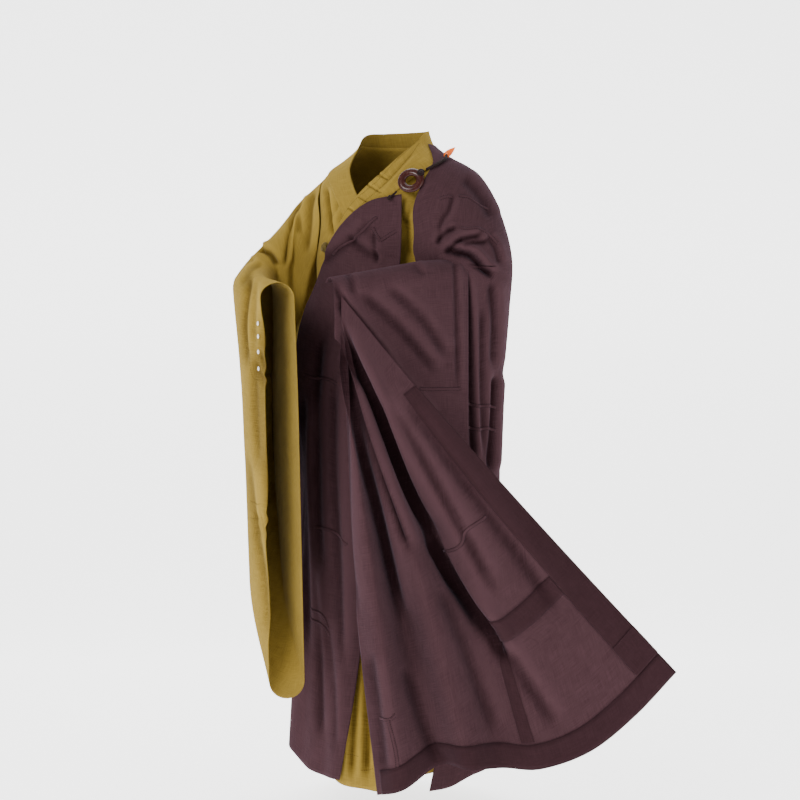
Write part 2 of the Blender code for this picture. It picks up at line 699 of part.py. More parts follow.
def rod(name, route, radius, finish_name, count=14):
    """A round cord or rod along a smooth curve through a route's points."""
    route = np.array(route)
    points = through(np.arange(len(route)), route, np.linspace(0, len(route) - 1, count))
    curve = bpy.data.curves.new(name, "CURVE")
    curve.dimensions = "3D"
    curve.bevel_depth = radius
    curve.bevel_resolution = 2
    curve.use_fill_caps = True
    line = curve.splines.new("POLY")
    line.points.add(count - 1)
    line.points.foreach_set("co", np.column_stack([points, np.ones(count)]).ravel())
    curve.materials.append(finish(finish_name))
    thing = bpy.data.objects.new(name, curve)
    bpy.context.scene.collection.objects.link(thing)
    return thing


def build_gown():
    wall("gown_left_front", left_front_grid(), GOWN_WALL, "gown_cloth")
    wall("gown_right_front", right_front_grid(), GOWN_WALL, "gown_cloth")
    wall("gown_back", back_grid(), GOWN_WALL, "gown_cloth")
    wall("gown_collar_left", collar_grid(LEFT_COLLAR, 0), GOWN_WALL, "gown_cloth")
    wall("gown_collar_right", collar_grid(RIGHT_COLLAR, 1), GOWN_WALL, "gown_cloth")
    wall("gown_right_sleeve", right_sleeve_grid(), GOWN_WALL, "gown_cloth", ring=True)
    left = sleeve_grid(LEFT_SLEEVE, 1, 10, 0.0, LEFT_SLEEVE_END)
    wall("gown_left_sleeve", left, GOWN_WALL, "gown_cloth", ring=True)


def build_robe():
    gap = SEAM_DEGREES
    front = robe_grid(RIGHT_SIDE_SEAM + gap, 37.0, 15, end_edge=ROBE_END)
    wall("robe_front", front, ROBE_WALL, "robe_cloth")
    side = robe_grid(BACK_SEAM + gap, RIGHT_SIDE_SEAM - gap, 14)
    wall("robe_right_back", side, ROBE_WALL, "robe_cloth")
    back = robe_grid(LEFT_SEAM + gap, BACK_SEAM - gap, 11)
    wall("robe_left_back", back, ROBE_WALL, "robe_cloth")
    over = robe_grid(-325.0, LEFT_SEAM - gap, 11, skirt=8, bodice=14, start_edge=SHOULDER_EDGE)
    wall("robe_shoulder", over, ROBE_WALL, "robe_cloth")
    wall("robe_forearm_drape", drape_grid(), ROBE_WALL, "robe_cloth")
    swung = swung_grid()
    wall("robe_swung_panel", swung, ROBE_WALL, "robe_cloth")
    for name, columns, rows, layer in PANEL_BANDS:
        wall(name, raised(swung, columns, rows, layer), BAND_WALL, "robe_cloth")


def on_robe(turn, up, out):
    """A place over the robe at the shoulder, out from its outer skin."""
    skin = robe_out(up) + ROBE_WALL / 2
    return over_body(np.asarray(turn, float), np.asarray(up, float), skin + out, bulge=1.0)


def build_clasp():
    middle = on_robe(RING_TURN, RING_UP, RING_THICK / 2 + CLASP_CLEAR)
    axis = middle - on_robe(RING_TURN, RING_UP, 0.0)
    turned_ring("clasp_ring", middle, axis, RING_RADIUS, RING_HALF, RING_THICK / 2, "ring_lacquer")
    route = [on_robe(turn, up, out) for turn, up, out in HOOK_ROUTE]
    rod("clasp_hook", route, HOOK_RADIUS, "dark_cord")
    tip = np.array(route[-1]) + unit(route[-1] - route[-2]) * (LEAF_RADII[2] + SEAM_GAP)
    bead("clasp_leaf", tip, LEAF_RADII, "amber", axis=route[-1] - route[-2])
    route = [on_robe(turn, up, out) for turn, up, out in LOOP_ROUTE]
    rod("clasp_loop", route, LOOP_RADIUS, "dark_cord")
    place = np.array(route[-1]) + unit(route[-1] - route[-2]) * (KNOT_RADII[2] + SEAM_GAP)
    bead("clasp_knot", place, KNOT_RADII, "dark_cord", axis=route[-1] - route[-2])


def side_row(grid, side):
    """A row along a sleeve between two of its numbered sides."""
    low = int(side)
    return grid[low] + (grid[low + 1] - grid[low]) * (side - low)


def build_snaps():
    grid = right_sleeve_grid()
    normal = grid_normals(grid, ring=True)
    out = GOWN_WALL / 2 + SNAP_THICK / 2 + SEAM_GAP
    radii = (SNAP_RADIUS, SNAP_RADIUS, SNAP_THICK / 2)
    for number, side in enumerate(SNAPS, 1):
        row = side_row(grid, side)
        face = unit(side_row(normal, side)[-1])
        place = row[-1] + (row[-2] - row[-1]) * SNAP_BACK
        bead(f"sleeve_snap_{number}", place + face * out, radii, "snap_shell", face, 10, 6)


def build_side_tie():
    turn, up = np.array(TIE_TURN), np.array(TIE_UP)
    skin = underlap(turn) + GOWN_WALL / 2
    place = over_body(turn, up, skin + TIE_RADII[2])
    face = place - over_body(turn, up, skin)
    bead("gown_side_tie", place, TIE_RADII, "gown_cloth", axis=face)


def build():
    clear_scene()
    build_gown()
    build_robe()
    build_clasp()
    build_snaps()
    build_side_tie()


if __name__ == "__main__":
    build()
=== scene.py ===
# %% [markdown]
# # A monk's robe, dressed for the camera
#
# Two garments make this piece: a mustard gown with crossed fronts and huge sleeves, and a dark
# patched outer robe that is worn over one shoulder. The frame holds them as plain walls 2 mm
# thick. This lesson gives each wall a finer shell with real creases, sews on its stitches, and
# paints the two cloths, the lacquer ring, the amber leaf and the cords.

# %% Load the frame
import math

import bmesh
import bpy
import numpy as np
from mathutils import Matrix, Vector


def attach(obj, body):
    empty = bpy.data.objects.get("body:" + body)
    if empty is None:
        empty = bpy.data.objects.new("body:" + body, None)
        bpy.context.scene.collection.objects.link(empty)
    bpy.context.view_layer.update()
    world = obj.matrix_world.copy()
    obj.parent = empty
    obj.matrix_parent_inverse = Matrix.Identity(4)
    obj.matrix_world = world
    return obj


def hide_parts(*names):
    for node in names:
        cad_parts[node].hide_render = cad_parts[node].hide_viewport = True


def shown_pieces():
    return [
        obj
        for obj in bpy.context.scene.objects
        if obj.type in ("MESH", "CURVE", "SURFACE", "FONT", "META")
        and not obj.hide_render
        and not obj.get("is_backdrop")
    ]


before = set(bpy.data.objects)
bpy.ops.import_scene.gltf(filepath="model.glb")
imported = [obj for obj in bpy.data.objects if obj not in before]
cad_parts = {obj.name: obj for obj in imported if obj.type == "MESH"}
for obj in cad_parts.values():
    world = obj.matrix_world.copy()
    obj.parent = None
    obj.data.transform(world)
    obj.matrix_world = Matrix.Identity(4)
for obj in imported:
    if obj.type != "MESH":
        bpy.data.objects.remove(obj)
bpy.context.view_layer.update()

# %% [markdown]
# ## The sizes that everything hangs on
#
# The origin is where the wearer carries the robe, at the height of the shoulders. The eye stands
# 30 degrees round to the wearer's left and 4.5 m away. A 90 mm lens on a 36 mm sensor then takes
# in 1.8 m of height, and small lens shifts keep upright lines upright, as a studio photographer
# would with a shift lens.

# %% Sizes, eye and camera
SHOULDER_UP = 1.42
VIEW_TURN = math.radians(30)
EYE_DISTANCE = 4.5
EYE_UP = 1.05
VIEW_SIZE = 1.8
SENSOR_MM = 36.0
FRAME_MIDDLE_RIGHT = 0.011
FRAME_MIDDLE_UP = 0.896


def place_camera():
    """A level camera on the sight line, shifted so that the frame's middle falls where it should."""
    lens = bpy.data.cameras.new("studio_camera")
    lens.sensor_width = SENSOR_MM
    lens.lens = SENSOR_MM * EYE_DISTANCE / VIEW_SIZE
    lens.shift_x = FRAME_MIDDLE_RIGHT / VIEW_SIZE
    lens.shift_y = (FRAME_MIDDLE_UP - EYE_UP) / VIEW_SIZE
    camera = bpy.data.objects.new("studio_camera", lens)
    bpy.context.scene.collection.objects.link(camera)
    near = EYE_DISTANCE
    camera.location = (near * math.sin(VIEW_TURN), -near * math.cos(VIEW_TURN), EYE_UP - SHOULDER_UP)
    camera.rotation_euler = (math.pi / 2, 0, VIEW_TURN)
    bpy.context.scene.camera = camera
    return lens.lens


print("lens in mm:", place_camera())

# %% [markdown]
# ## Smooth curves through short tables
#
# A tailor works from a few measures and lets the cloth run smoothly between them. The same idea
# serves here: every shape comes from a short table, and one function draws a smooth curve through
# its rows. It uses cubic pieces whose slope at a row is the mean of the two chords that meet there.

# %% Curves and small helpers
def through(knots, values, at):
    """Cubic pieces through values at rising knots: value = ends blended by 3t^2 - 2t^3 plus slopes."""
    knots = np.asarray(knots, float)
    values = np.asarray(values, float)
    at = np.clip(np.asarray(at, float), knots[0], knots[-1])
    extra = (1,) * (values.ndim - 1)
    chord = np.diff(values, axis=0) / np.diff(knots).reshape(-1, *extra)
    slope = np.concatenate([chord[:1], (chord[1:] + chord[:-1]) / 2, chord[-1:]])
    low = np.clip(np.searchsorted(knots, at, side="right") - 1, 0, len(knots) - 2)
    shape = at.shape + extra
    step = np.reshape(knots[low + 1] - knots[low], shape)
    t = np.reshape(at - knots[low], shape) / step
    rise = t * t * (3 - 2 * t)
    ease_in = t * (1 - t) ** 2 * step
    ease_out = t * t * (t - 1) * step
    ends = values[low] * (1 - rise) + values[low + 1] * rise
    return ends + slope[low] * ease_in + slope[low + 1] * ease_out


def column(table, index):
    return [row[index] for row in table]


def soft_step(value):
    """0 below 0, 1 above 1 and 3v^2 - 2v^3 between."""
    value = np.clip(value, 0.0, 1.0)
    return value * value * (3 - 2 * value)


def unit(vectors):
    return vectors / np.linalg.norm(vectors, axis=-1, keepdims=True)


def seen(right, up, near):
    """The place that shows at right and up in the plane of the axis, moved near along the sight line."""
    reach = 1 - near / EYE_DISTANCE
    across = right * reach
    height = EYE_UP + (up - EYE_UP) * reach
    x = across * math.cos(VIEW_TURN) + near * math.sin(VIEW_TURN)
    y = across * math.sin(VIEW_TURN) - near * math.cos(VIEW_TURN)
    return np.stack([x, y, height - SHOULDER_UP], axis=-1)


def as_seen(points):
    """The reverse of seen: how far right, up and near each place shows."""
    x, y, z = np.moveaxis(points, -1, 0)
    near = x * math.sin(VIEW_TURN) - y * math.cos(VIEW_TURN)
    reach = 1 - near / EYE_DISTANCE
    right = (x * math.cos(VIEW_TURN) + y * math.sin(VIEW_TURN)) / reach
    up = EYE_UP + (z + SHOULDER_UP - EYE_UP) / reach
    return right, up, near


print("a place 0.3 m near, shown at 0.2 right and 0.9 up:", seen(0.2, 0.9, 0.3).round(3))

# %% [markdown]
# ## What the tailor measures
#
# The frame's walls were drawn from a few tables: rings round the body, the run of each edge, a
# row for each section of a sleeve, and nine rays for the folds of the free corner. The same
# tables are repeated here, so that every shell lies where its wall does. They are in metres,
# heights are measured up from the ground, and turns are degrees round the body from the front
# toward the wearer's left.

# %% The tables
GOWN_WALL = 0.0020
ROBE_WALL = 0.0022
BAND_WALL = 0.0014
SEAM_GAP = 0.0006
ROBE_OUT = 0.013
UNDERLAP_IN = 0.008
UNDERLAP_FROM = -86.0
UNDERLAP_OVER = 40.0
COLLAR_OUT = 0.0042

# Gown round the body: height, half width, half depth in front and behind.
BODY = (
    ("hem", 0.060, 0.232, 0.205, 0.195),
    ("shin", 0.300, 0.220, 0.188, 0.178),
    ("knee", 0.600, 0.205, 0.170, 0.162),
    ("hip", 0.850, 0.196, 0.156, 0.148),
    ("waist", 1.000, 0.190, 0.147, 0.138),
    ("ribs", 1.150, 0.189, 0.144, 0.132),
    ("chest", 1.280, 0.193, 0.141, 0.130),
    ("shoulder blade", 1.360, 0.188, 0.128, 0.124),
    ("shoulder", 1.405, 0.168, 0.108, 0.112),
    ("shoulder slope", 1.435, 0.120, 0.090, 0.100),
    ("neck foot", 1.460, 0.088, 0.076, 0.086),
    ("neck", 1.490, 0.074, 0.068, 0.074),
    ("collar top", 1.520, 0.068, 0.064, 0.068),
)
BODICE_START_UP = 1.12
BODICE_CROWDING = 1.5
PLEAT_START_UP = 1.02
PLEAT_DEEP = 0.012
# Hem of the gown: turn and height. It dips in the front slit of the outer robe.
GOWN_HEM = ((-90.0, 0.100), (-25.0, 0.098), (4.0, 0.066), (22.0, 0.062), (46.0, 0.098), (90.0, 0.100))

ARMPIT_UP = 1.170
ARM_TOP_UP = 1.408
ARMHOLE_TURN = 32.0
NECK_EDGE_UP = 1.470

# Front edge of the gown's upper front, the left one: height and turn.
LEFT_FRONT_EDGE = (
    (0.060, -46.0),
    (1.120, -46.0),
    (1.200, -42.0),
    (1.276, -28.0),
    (1.343, -9.0),
    (1.400, 18.0),
    (1.440, 45.0),
    (1.470, 80.0),
)
RIGHT_FRONT_EDGE = (
    (0.060, 8.0),
    (1.250, 8.0),
    (1.343, -9.0),
    (1.400, -30.0),
    (1.440, -52.0),
    (1.470, -80.0),
)

# Collar band: turn and height of its neck edge, then of its outer edge.
LEFT_COLLAR = (
    ("side", -44.0, 1.175, -32.0, 1.125),
    ("chest", -28.0, 1.277, -13.0, 1.236),
    ("crossing", -9.0, 1.345, 6.0, 1.300),
    ("collar bone", 18.0, 1.402, 34.0, 1.360),
    ("neck front", 45.0, 1.446, 60.0, 1.404),
    ("neck side", 90.0, 1.492, 92.0, 1.447),
    ("neck back", 135.0, 1.501, 135.0, 1.454),
    ("nape", 180.0, 1.503, 180.0, 1.455),
)
RIGHT_COLLAR = (
    ("nape", -180.0, 1.503, -180.0, 1.455),
    ("neck back", -135.0, 1.501, -135.0, 1.454),
    ("neck side", -90.0, 1.492, -92.0, 1.447),
    ("neck front", -52.0, 1.446, -66.0, 1.404),
    ("collar bone", -30.0, 1.402, -43.0, 1.362),
    ("crossing", -9.0, 1.345, -24.0, 1.305),
    ("under lap", 6.0, 1.270, -10.0, 1.235),
)

# Sleeves, a row for each section: the place over the arm and of the hanging fold as x, y and
# height, the turn of the outer side from +X, and the half thickness at the arm and in the bag.
RIGHT_SLEEVE = (
    ("upper arm", (-0.246, -0.015, 1.345), (-0.250, -0.008, 1.040), 110.0, 0.052, 0.030),
    ("above elbow", (-0.286, -0.040, 1.285), (-0.268, -0.040, 0.880), 140.0, 0.050, 0.028),
    ("elbow", (-0.316, -0.085, 1.218), (-0.288, -0.085, 0.700), 183.0, 0.048, 0.028),
    ("forearm", (-0.242, -0.212, 1.180), (-0.212, -0.195, 0.500), 212.0, 0.044, 0.036),
    ("mouth", (-0.105, -0.320, 1.155), (-0.102, -0.296, 0.262), 221.0, 0.035, 0.038),
)
LEFT_SLEEVE = (
    ("upper arm", (0.222, -0.005, 1.350), (0.220, -0.005, 1.080), 72.0, 0.034, 0.014),
    ("above elbow", (0.232, -0.020, 1.270), (0.224, -0.030, 1.000), 45.0, 0.030, 0.013),
    ("elbow", (0.222, -0.062, 1.205), (0.216, -0.070, 0.960), -8.0, 0.026, 0.013),
    ("forearm", (0.150, -0.190, 1.192), (0.146, -0.194, 0.950), -38.0, 0.038, 0.013),
    ("mouth", (0.026, -0.322, 1.160), (0.026, -0.318, 0.950), -42.0, 0.036, 0.013),
)
# The left sleeve stops short of its mouth row, because the cloth over it hides its end.
LEFT_SLEEVE_END = 0.93
SLEEVE_SIDES = 24
SLEEVE_LOOPS = 15
SLEEVE_RIPPLE = 0.008
RIPPLES = 2.6
ARM_TO_BAG = 0.30

# Outer robe round the body: turn, height of its upper edge and of its hem.
ROBE_EDGES = (
    (37.0, 1.345, 0.083),
    (6.0, 1.330, 0.085),
    (-20.0, 1.283, 0.100),
    (-33.0, 1.240, 0.118),
    (-45.0, 1.180, 0.130),
    (-60.0, 1.120, 0.135),
    (-90.0, 1.075, 0.130),
    (-130.0, 1.120, 0.110),
    (-160.0, 1.210, 0.100),
    (-180.0, 1.280, 0.095),
    (-205.0, 1.360, 0.090),
    (-225.0, 1.415, 0.085),
    (-245.0, 1.452, 0.080),
    (-275.0, 1.462, 0.104),
    (-297.0, 1.462, 0.098),
    (-308.0, 1.462, 0.074),
    (-325.0, 1.462, 0.066),
)
# Hanging end of the robe in front: height and turn.
ROBE_END = ((0.060, -3.0), (0.400, 7.0), (0.700, 16.0), (1.000, 28.0), (1.200, 36.0), (1.350, 37.0))
# Edge of the robe that comes over the left shoulder: height and turn.
SHOULDER_EDGE = (
    (0.060, 72.0),
    (0.900, 68.0),
    (1.120, 67.0),
    (1.185, 66.0),
    (1.212, 65.0),
    (1.226, 57.0),
    (1.234, 47.0),
    (1.260, 44.5),
    (1.320, 45.0),
    (1.368, 52.0),
    (1.400, 60.0),
    (1.440, 74.0),
    (1.462, 84.0),
)
# How far the robe stands out over the left arm: height and depth.
ARM_BULGE = (
    (0.060, 0.012),
    (0.400, 0.018),
    (0.700, 0.034),
    (0.900, 0.052),
    (1.100, 0.080),
    (1.200, 0.086),
    (1.290, 0.060),
    (1.350, 0.031),
    (1.405, 0.008),
    (1.462, 0.000),
)
BULGE_TURN = 84.0
BULGE_SPREAD = 62.0
# How far the robe stands out on the right hip, where it is pulled across: height and depth.
HIP_BULGE = (
    (0.060, 0.000),
    (0.400, 0.006),
    (0.700, 0.014),
    (0.920, 0.033),
    (1.040, 0.029),
    (1.120, 0.008),
    (1.180, 0.000),
)
HIP_TURN = -70.0
HIP_SPREAD = 46.0
RIGHT_SIDE_SEAM = -75.0
BACK_SEAM = -178.0
LEFT_SEAM = -248.0

# Cloth over the left forearm: share of the sleeve's length, drop behind and in front.
FOREARM_DRAPE = (
    (0.660, 0.050, 0.500),
    (0.76, 0.050, 0.410),
    (0.86, 0.045, 0.290),
    (1.00, 0.030, 0.150),
)

CROWN_DROP = 0.075
ARMHOLE_HALF = 0.050

# Swung folds, a row for each ray from the wrist: right, up and near at the upper, lower and
# hem stations, as seen, and how far down the drape the ray begins.
SWUNG_FOLDS = (
    ("slit edge", 0.080, (-0.114, 0.850, 0.350), (-0.086, 0.410, 0.330), (-0.040, 0.007, 0.320)),
    ("first crest", 0.075, (-0.102, 0.846, 0.372), (-0.040, 0.420, 0.385), (0.018, 0.018, 0.372)),
    ("first valley", 0.070, (-0.088, 0.842, 0.356), (0.012, 0.430, 0.320), (0.101, 0.076, 0.310)),
    ("second crest", 0.060, (-0.064, 0.840, 0.380), (0.070, 0.450, 0.380), (0.168, 0.064, 0.365)),
    ("second valley", 0.050, (-0.034, 0.842, 0.345), (0.142, 0.486, 0.305), (0.246, 0.068, 0.318)),
    ("inner field", 0.040, (-0.014, 0.862, 0.370), (0.196, 0.468, 0.345), (0.330, 0.066, 0.318)),
    ("middle field", 0.030, (0.004, 0.880, 0.372), (0.232, 0.490, 0.345), (0.440, 0.106, 0.290)),
    ("outer field", 0.020, (0.026, 0.900, 0.366), (0.282, 0.538, 0.330), (0.540, 0.186, 0.258)),
    ("robe's edge", 0.010, (0.052, 0.920, 0.356), (0.338, 0.600, 0.300), (0.632, 0.284, 0.225)),
)
SWUNG_STOPS = (0.0, 0.33, 0.67, 1.0)
FOLDS_ALONG = 0.985
FOLDS_DROP = 0.055
DRAPE_TOUCH = 0.0006
DRAPE_CLEAR = 0.0016
ELBOW_CLEAR = 0.0080
ELBOW_CLEAR_FROM = 0.60
ELBOW_CLEAR_OVER = 0.28
FOLDS_END = 4.0
FOLDS_COLUMNS = 18
SEAM_DEGREES = 0.08
ROBE_TOP_OUT = 0.0072
ROBE_BODICE_SHARE = 0.72
ROBE_CLOSE_FROM = 1.36
ROBE_CLOSE_OVER = 0.08

# The swung corner's lines: rows from the wrist to the hem, columns across field and border.
PANEL_ROWS = (
    *(0.0, 0.08, 0.16, 0.24, 0.32, 0.40, 0.48, 0.56, 0.64),
    *(0.725, 0.765, 0.769, 0.83, 0.89, 0.951, 0.955, 1.0),
)
FIELD_COLUMNS = 10
FIELD_SEAM_SHARE = 0.996
BORDER_COLUMNS = 2
BORDER_RAYS = 1.9
BORDER_NARROWS = 0.4
BAND_TOUCH = 0.0005
# Doubled bands on the panel: name, first and last column and row of the panel's lines, and layer.
PANEL_BANDS = (
    ("robe_border_band", (29, 32), (4, 15), 1),
    ("robe_hem_band", (1, 32), (15, 17), 1),
    ("robe_cross_band", (19, 29), (9, 11), 1),
    ("robe_strip_band", (20, 22), (11, 15), 1),
    ("robe_corner_patch", (29, 32), (13, 15), 2),
)

RING_TURN = 44.5
RING_UP = 1.371
RING_RADIUS = 0.0205
RING_HALF = 0.0088
RING_THICK = 0.0110
CLASP_CLEAR = -0.0026
HOOK_RADIUS = 0.0030
# Places over the robe: turn, height and distance out.
HOOK_ROUTE = (
    (56.5, 1.394, 0.0036),
    (64.0, 1.404, 0.0038),
    (74.0, 1.416, 0.0038),
    (84.0, 1.428, 0.0054),
)
LEAF_RADII = (0.0070, 0.0045, 0.0130)
# The leaf stands up from the hook's end: right and up of its foot and of its tip, as seen.
CUT_LEAF_RADII = (0.0095, 0.0062, 0.0165)
LEAF_IN_BINDING = 0.007
LEAF_FOOT = (0.105, 1.440)
LEAF_TIP = (0.129, 1.461)
LOOP_RADIUS = 0.0020
LOOP_ROUTE = ((33.5, 1.350, 0.0026), (32.0, 1.345, 0.0032), (30.0, 1.341, 0.0042))
KNOT_RADII = (0.0050, 0.0050, 0.0060)

SNAP_RADIUS = 0.0050
SNAP_THICK = 0.0030
SNAP_BACK = 0.25
# Snap halves by the sleeve's mouth: place among the section's sides, from the arm down.
SNAPS = (2.45, 2.85, 3.25, 3.65, 20.6)
TIE_TURN = -46.0
TIE_UP = 1.238
TIE_RADII = (0.0120, 0.0100, 0.0060)

print("sleeve sections:", len(RIGHT_SLEEVE), "rays of the free corner:", len(SWUNG_FOLDS))

# %% [markdown]
# ## The forms of the cloth
#
# Each form is a function of two parameters that gives a place in space for a whole grid at once.
# A panel round the body is an ellipse at each height with waves in the skirt. A sleeve is a loop
# round the arm that hangs to a narrow fold. The free corner is a net of rays that leave the wrist
# and run to the hem. A denser grid on the same form gives room for creases.

# %% The forms
def pleats(turn, up):
    """Waves of the skirt: none above the waist, deepest at the hem."""
    depth = PLEAT_DEEP * soft_step((PLEAT_START_UP - up) / PLEAT_START_UP)
    angle = np.radians(turn)
    return depth * (0.6 * np.cos(9 * angle + 1.0) + 0.4 * np.cos(14 * angle + 0.4))


def bell(turn, middle, spread):
    """1 at the middle turn and 0 beyond the spread, as a squared cosine."""
    away = (np.mod(turn - middle + 180, 360) - 180) / spread
    return np.where(np.abs(away) < 1, np.cos(away * math.pi / 2) ** 2, 0)


def robe_bulge(turn, up):
    """Extra radius of the outer robe, over the left arm and on the right hip."""
    arm = bell(turn, BULGE_TURN, BULGE_SPREAD) * through(column(ARM_BULGE, 0), column(ARM_BULGE, 1), up)
    hip = bell(turn, HIP_TURN, HIP_SPREAD) * through(column(HIP_BULGE, 0), column(HIP_BULGE, 1), up)
    return arm + hip


def body_point(turn, up, bulge=0.0):
    """The gown's surface: an ellipse at each height, deeper or shallower in front than behind."""
    knots = column(BODY, 1)
    side = through(knots, column(BODY, 2), up)
    front = through(knots, column(BODY, 3), up)
    back = through(knots, column(BODY, 4), up)
    angle = np.radians(turn)
    depth = np.where(np.cos(angle) > 0, front, back)
    radius = 1 / np.sqrt((np.sin(angle) / side) ** 2 + (np.cos(angle) / depth) ** 2)
    radius = radius + pleats(turn, up) + bulge * robe_bulge(turn, up)
    return np.stack([radius * np.sin(angle), -radius * np.cos(angle), up - SHOULDER_UP], axis=-1)


def over_body(turn, up, out, bulge=0.0):
    """The gown's surface moved out along its own normal."""
    turn, up, out = np.broadcast_arrays(turn, up, out)
    small_turn, small_up = 0.5, 0.002
    across = body_point(turn + small_turn, up, bulge) - body_point(turn - small_turn, up, bulge)
    along = body_point(turn, up + small_up, bulge) - body_point(turn, up - small_up, bulge)
    normal = unit(np.cross(across, along))
    return body_point(turn, up, bulge) + normal * out[..., None]


def grid_normals(grid, ring):
    if ring:
        across = np.roll(grid, -1, axis=0) - np.roll(grid, 1, axis=0)
    else:
        across = np.gradient(grid, axis=0)
    return unit(np.cross(across, np.gradient(grid, axis=1)))


def bodice_rows(bottom, top, count):
    """Heights for a panel, evenly spaced, with a slight crowding toward the shoulder."""
    share = np.linspace(0, 1, count)
    share = share + (share - share * share) * 0.25
    return bottom + (top - bottom) * share


def gown_rows(turn_from, turn_to, wide, high):
    """Heights of a gown panel's rows, column by column, from a hem that dips in front."""
    nominal = np.minimum(np.linspace(turn_from, turn_to, wide), 90)[:, None]
    hem = through(column(GOWN_HEM, 0), column(GOWN_HEM, 1), nominal)
    return hem + (NECK_EDGE_UP - hem) * bodice_rows(0.0, 1.0, high)[None, :]


def armhole_turn(up):
    """Degrees by which the armhole's edge stands away from the side line."""
    share = np.clip((up - ARMPIT_UP) / (ARM_TOP_UP - ARMPIT_UP), 0, 1)
    return ARMHOLE_TURN * np.sin(math.pi * share) ** 0.7


def seam_turn(up):
    """Half a seam's gap as degrees at this height."""
    return np.degrees(SEAM_GAP / 2 / np.linalg.norm(body_point(90.0, up)[..., :2], axis=-1))


def edge_turn(table, up):
    return through(column(table, 0), column(table, 1), up)


def underlap(turn):
    """How far the right front lies inside the left one: none at the side, full in front."""
    return -UNDERLAP_IN * soft_step((np.asarray(turn, float) - UNDERLAP_FROM) / UNDERLAP_OVER)


def left_front_grid(wide=90, high=180):
    up = gown_rows(LEFT_FRONT_EDGE[0][1], 90.0, wide, high)
    side = 90 - armhole_turn(up) - seam_turn(up)
    share = np.linspace(0, 1, wide)[:, None]
    edge = edge_turn(LEFT_FRONT_EDGE, up)
    return over_body(edge + (side - edge) * share, up, 0.0)


def right_front_grid(wide=70, high=170):
    up = gown_rows(-90.0, RIGHT_FRONT_EDGE[0][1], wide, high)
    side = -(90 - armhole_turn(up) - seam_turn(up))
    share = np.linspace(0, 1, wide)[:, None]
    edge = edge_turn(RIGHT_FRONT_EDGE, up)
    turn = side + (edge - side) * share
    return over_body(turn, up, underlap(turn))


def back_grid(wide=80, high=130):
    up = gown_rows(90.0, 270.0, wide, high)
    start = 90 + armhole_turn(up) + seam_turn(up)
    share = np.linspace(0, 1, wide)[:, None]
    return over_body(start + (360 - 2 * start) * share, up, 0.0)


def collar_grid(table, lapped, long=200, wide=18):
    knots = np.arange(len(table))
    at = np.linspace(0, len(table) - 1, long)[:, None]
    inner_turn, inner_up, outer_turn, outer_up = (
        through(knots, column(table, index), at) for index in range(1, 5)
    )
    share = np.linspace(0, 1, wide)[None, :]
    turn = inner_turn + (outer_turn - inner_turn) * share
    up = inner_up + (outer_up - inner_up) * share
    return over_body(turn, up, COLLAR_OUT + lapped * underlap(turn))


def drop_loop(over, under, face, arm_half, bag_half, sides):
    """A section of a sleeve: a loop that is round over the arm and hangs to a narrow fold."""
    round_turn = 2 * math.pi * np.arange(sides) / sides
    share = (1 - np.cos(round_turn)) / 2
    over, under = np.array(over), np.array(under)
    long = np.linalg.norm(over - under)
    half = arm_half + (bag_half - arm_half) * soft_step(share * long / ARM_TO_BAG)
    top_cap = np.sqrt(1 - (1 - np.clip(share * long / arm_half, 0, 1)) ** 2)
    low_cap = np.sqrt(1 - (1 - np.clip((1 - share) * long / bag_half, 0, 1)) ** 2)
    half = half * np.minimum(top_cap, low_cap) * np.sign(np.sin(round_turn) + 1e-12)
    outward = np.array([math.cos(math.radians(face)), math.sin(math.radians(face)), 0])
    centre = over + (under - over) * share[:, None]
    return centre + outward * half[:, None] - np.array([0, 0, SHOULDER_UP])


def armhole_loop(side, sides):
    """The gown's armhole as a loop from the shoulder round the back to the armpit and up the front."""
    round_turn = 2 * math.pi * np.arange(sides) / sides
    share = (1 - np.cos(round_turn)) / 2
    up = ARM_TOP_UP - share * (ARM_TOP_UP - ARMPIT_UP)
    turn = side * (90 + np.sign(np.sin(round_turn) + 1e-12) * armhole_turn(up))
    loop = over_body(turn, up, underlap(turn) if side < 0 else 0.0)
    loop[:, 0] += side * (GOWN_WALL + SEAM_GAP)
    return loop


def sleeve_point(table, side, along, sides=SLEEVE_SIDES):
    """Loops of a sleeve at shares of its length, from the armhole to the mouth."""
    rows = [armhole_loop(side, sides)]
    rows += [drop_loop(*row[1:], sides) for row in table]
    at = np.asarray(along, float) * len(table)
    return through(np.arange(len(rows)), np.stack(rows), at)


def sleeve_grid(table, side, ripple, end=1.0, long=200, sides=180):
    """A whole sleeve: loops from the armhole to its end, with a slow ripple of the hanging bag."""
    along = np.linspace(0, end, long)
    loops = sleeve_point(table, side, along, sides)
    low = (1 - np.cos(2 * math.pi * np.arange(sides) / sides)) / 2
    face = through(np.arange(len(table) + 1), [90.0 * side, *column(table, 3)], along * len(table))
    outward = np.stack([np.cos(np.radians(face)), np.sin(np.radians(face)), 0 * face], axis=-1)
    wave = ripple * np.sin(2 * math.pi * RIPPLES * along) * soft_step(along * 3)
    return np.swapaxes(loops + wave[:, None, None] * low[None, :, None] * outward[:, None], 0, 1)


def robe_out(up):
    """How far the outer robe's middle lies out from the gown: closer on top of the shoulder."""
    close = soft_step((np.asarray(up, float) - ROBE_CLOSE_FROM) / ROBE_CLOSE_OVER)
    return ROBE_OUT + (ROBE_TOP_OUT - ROBE_OUT) * close


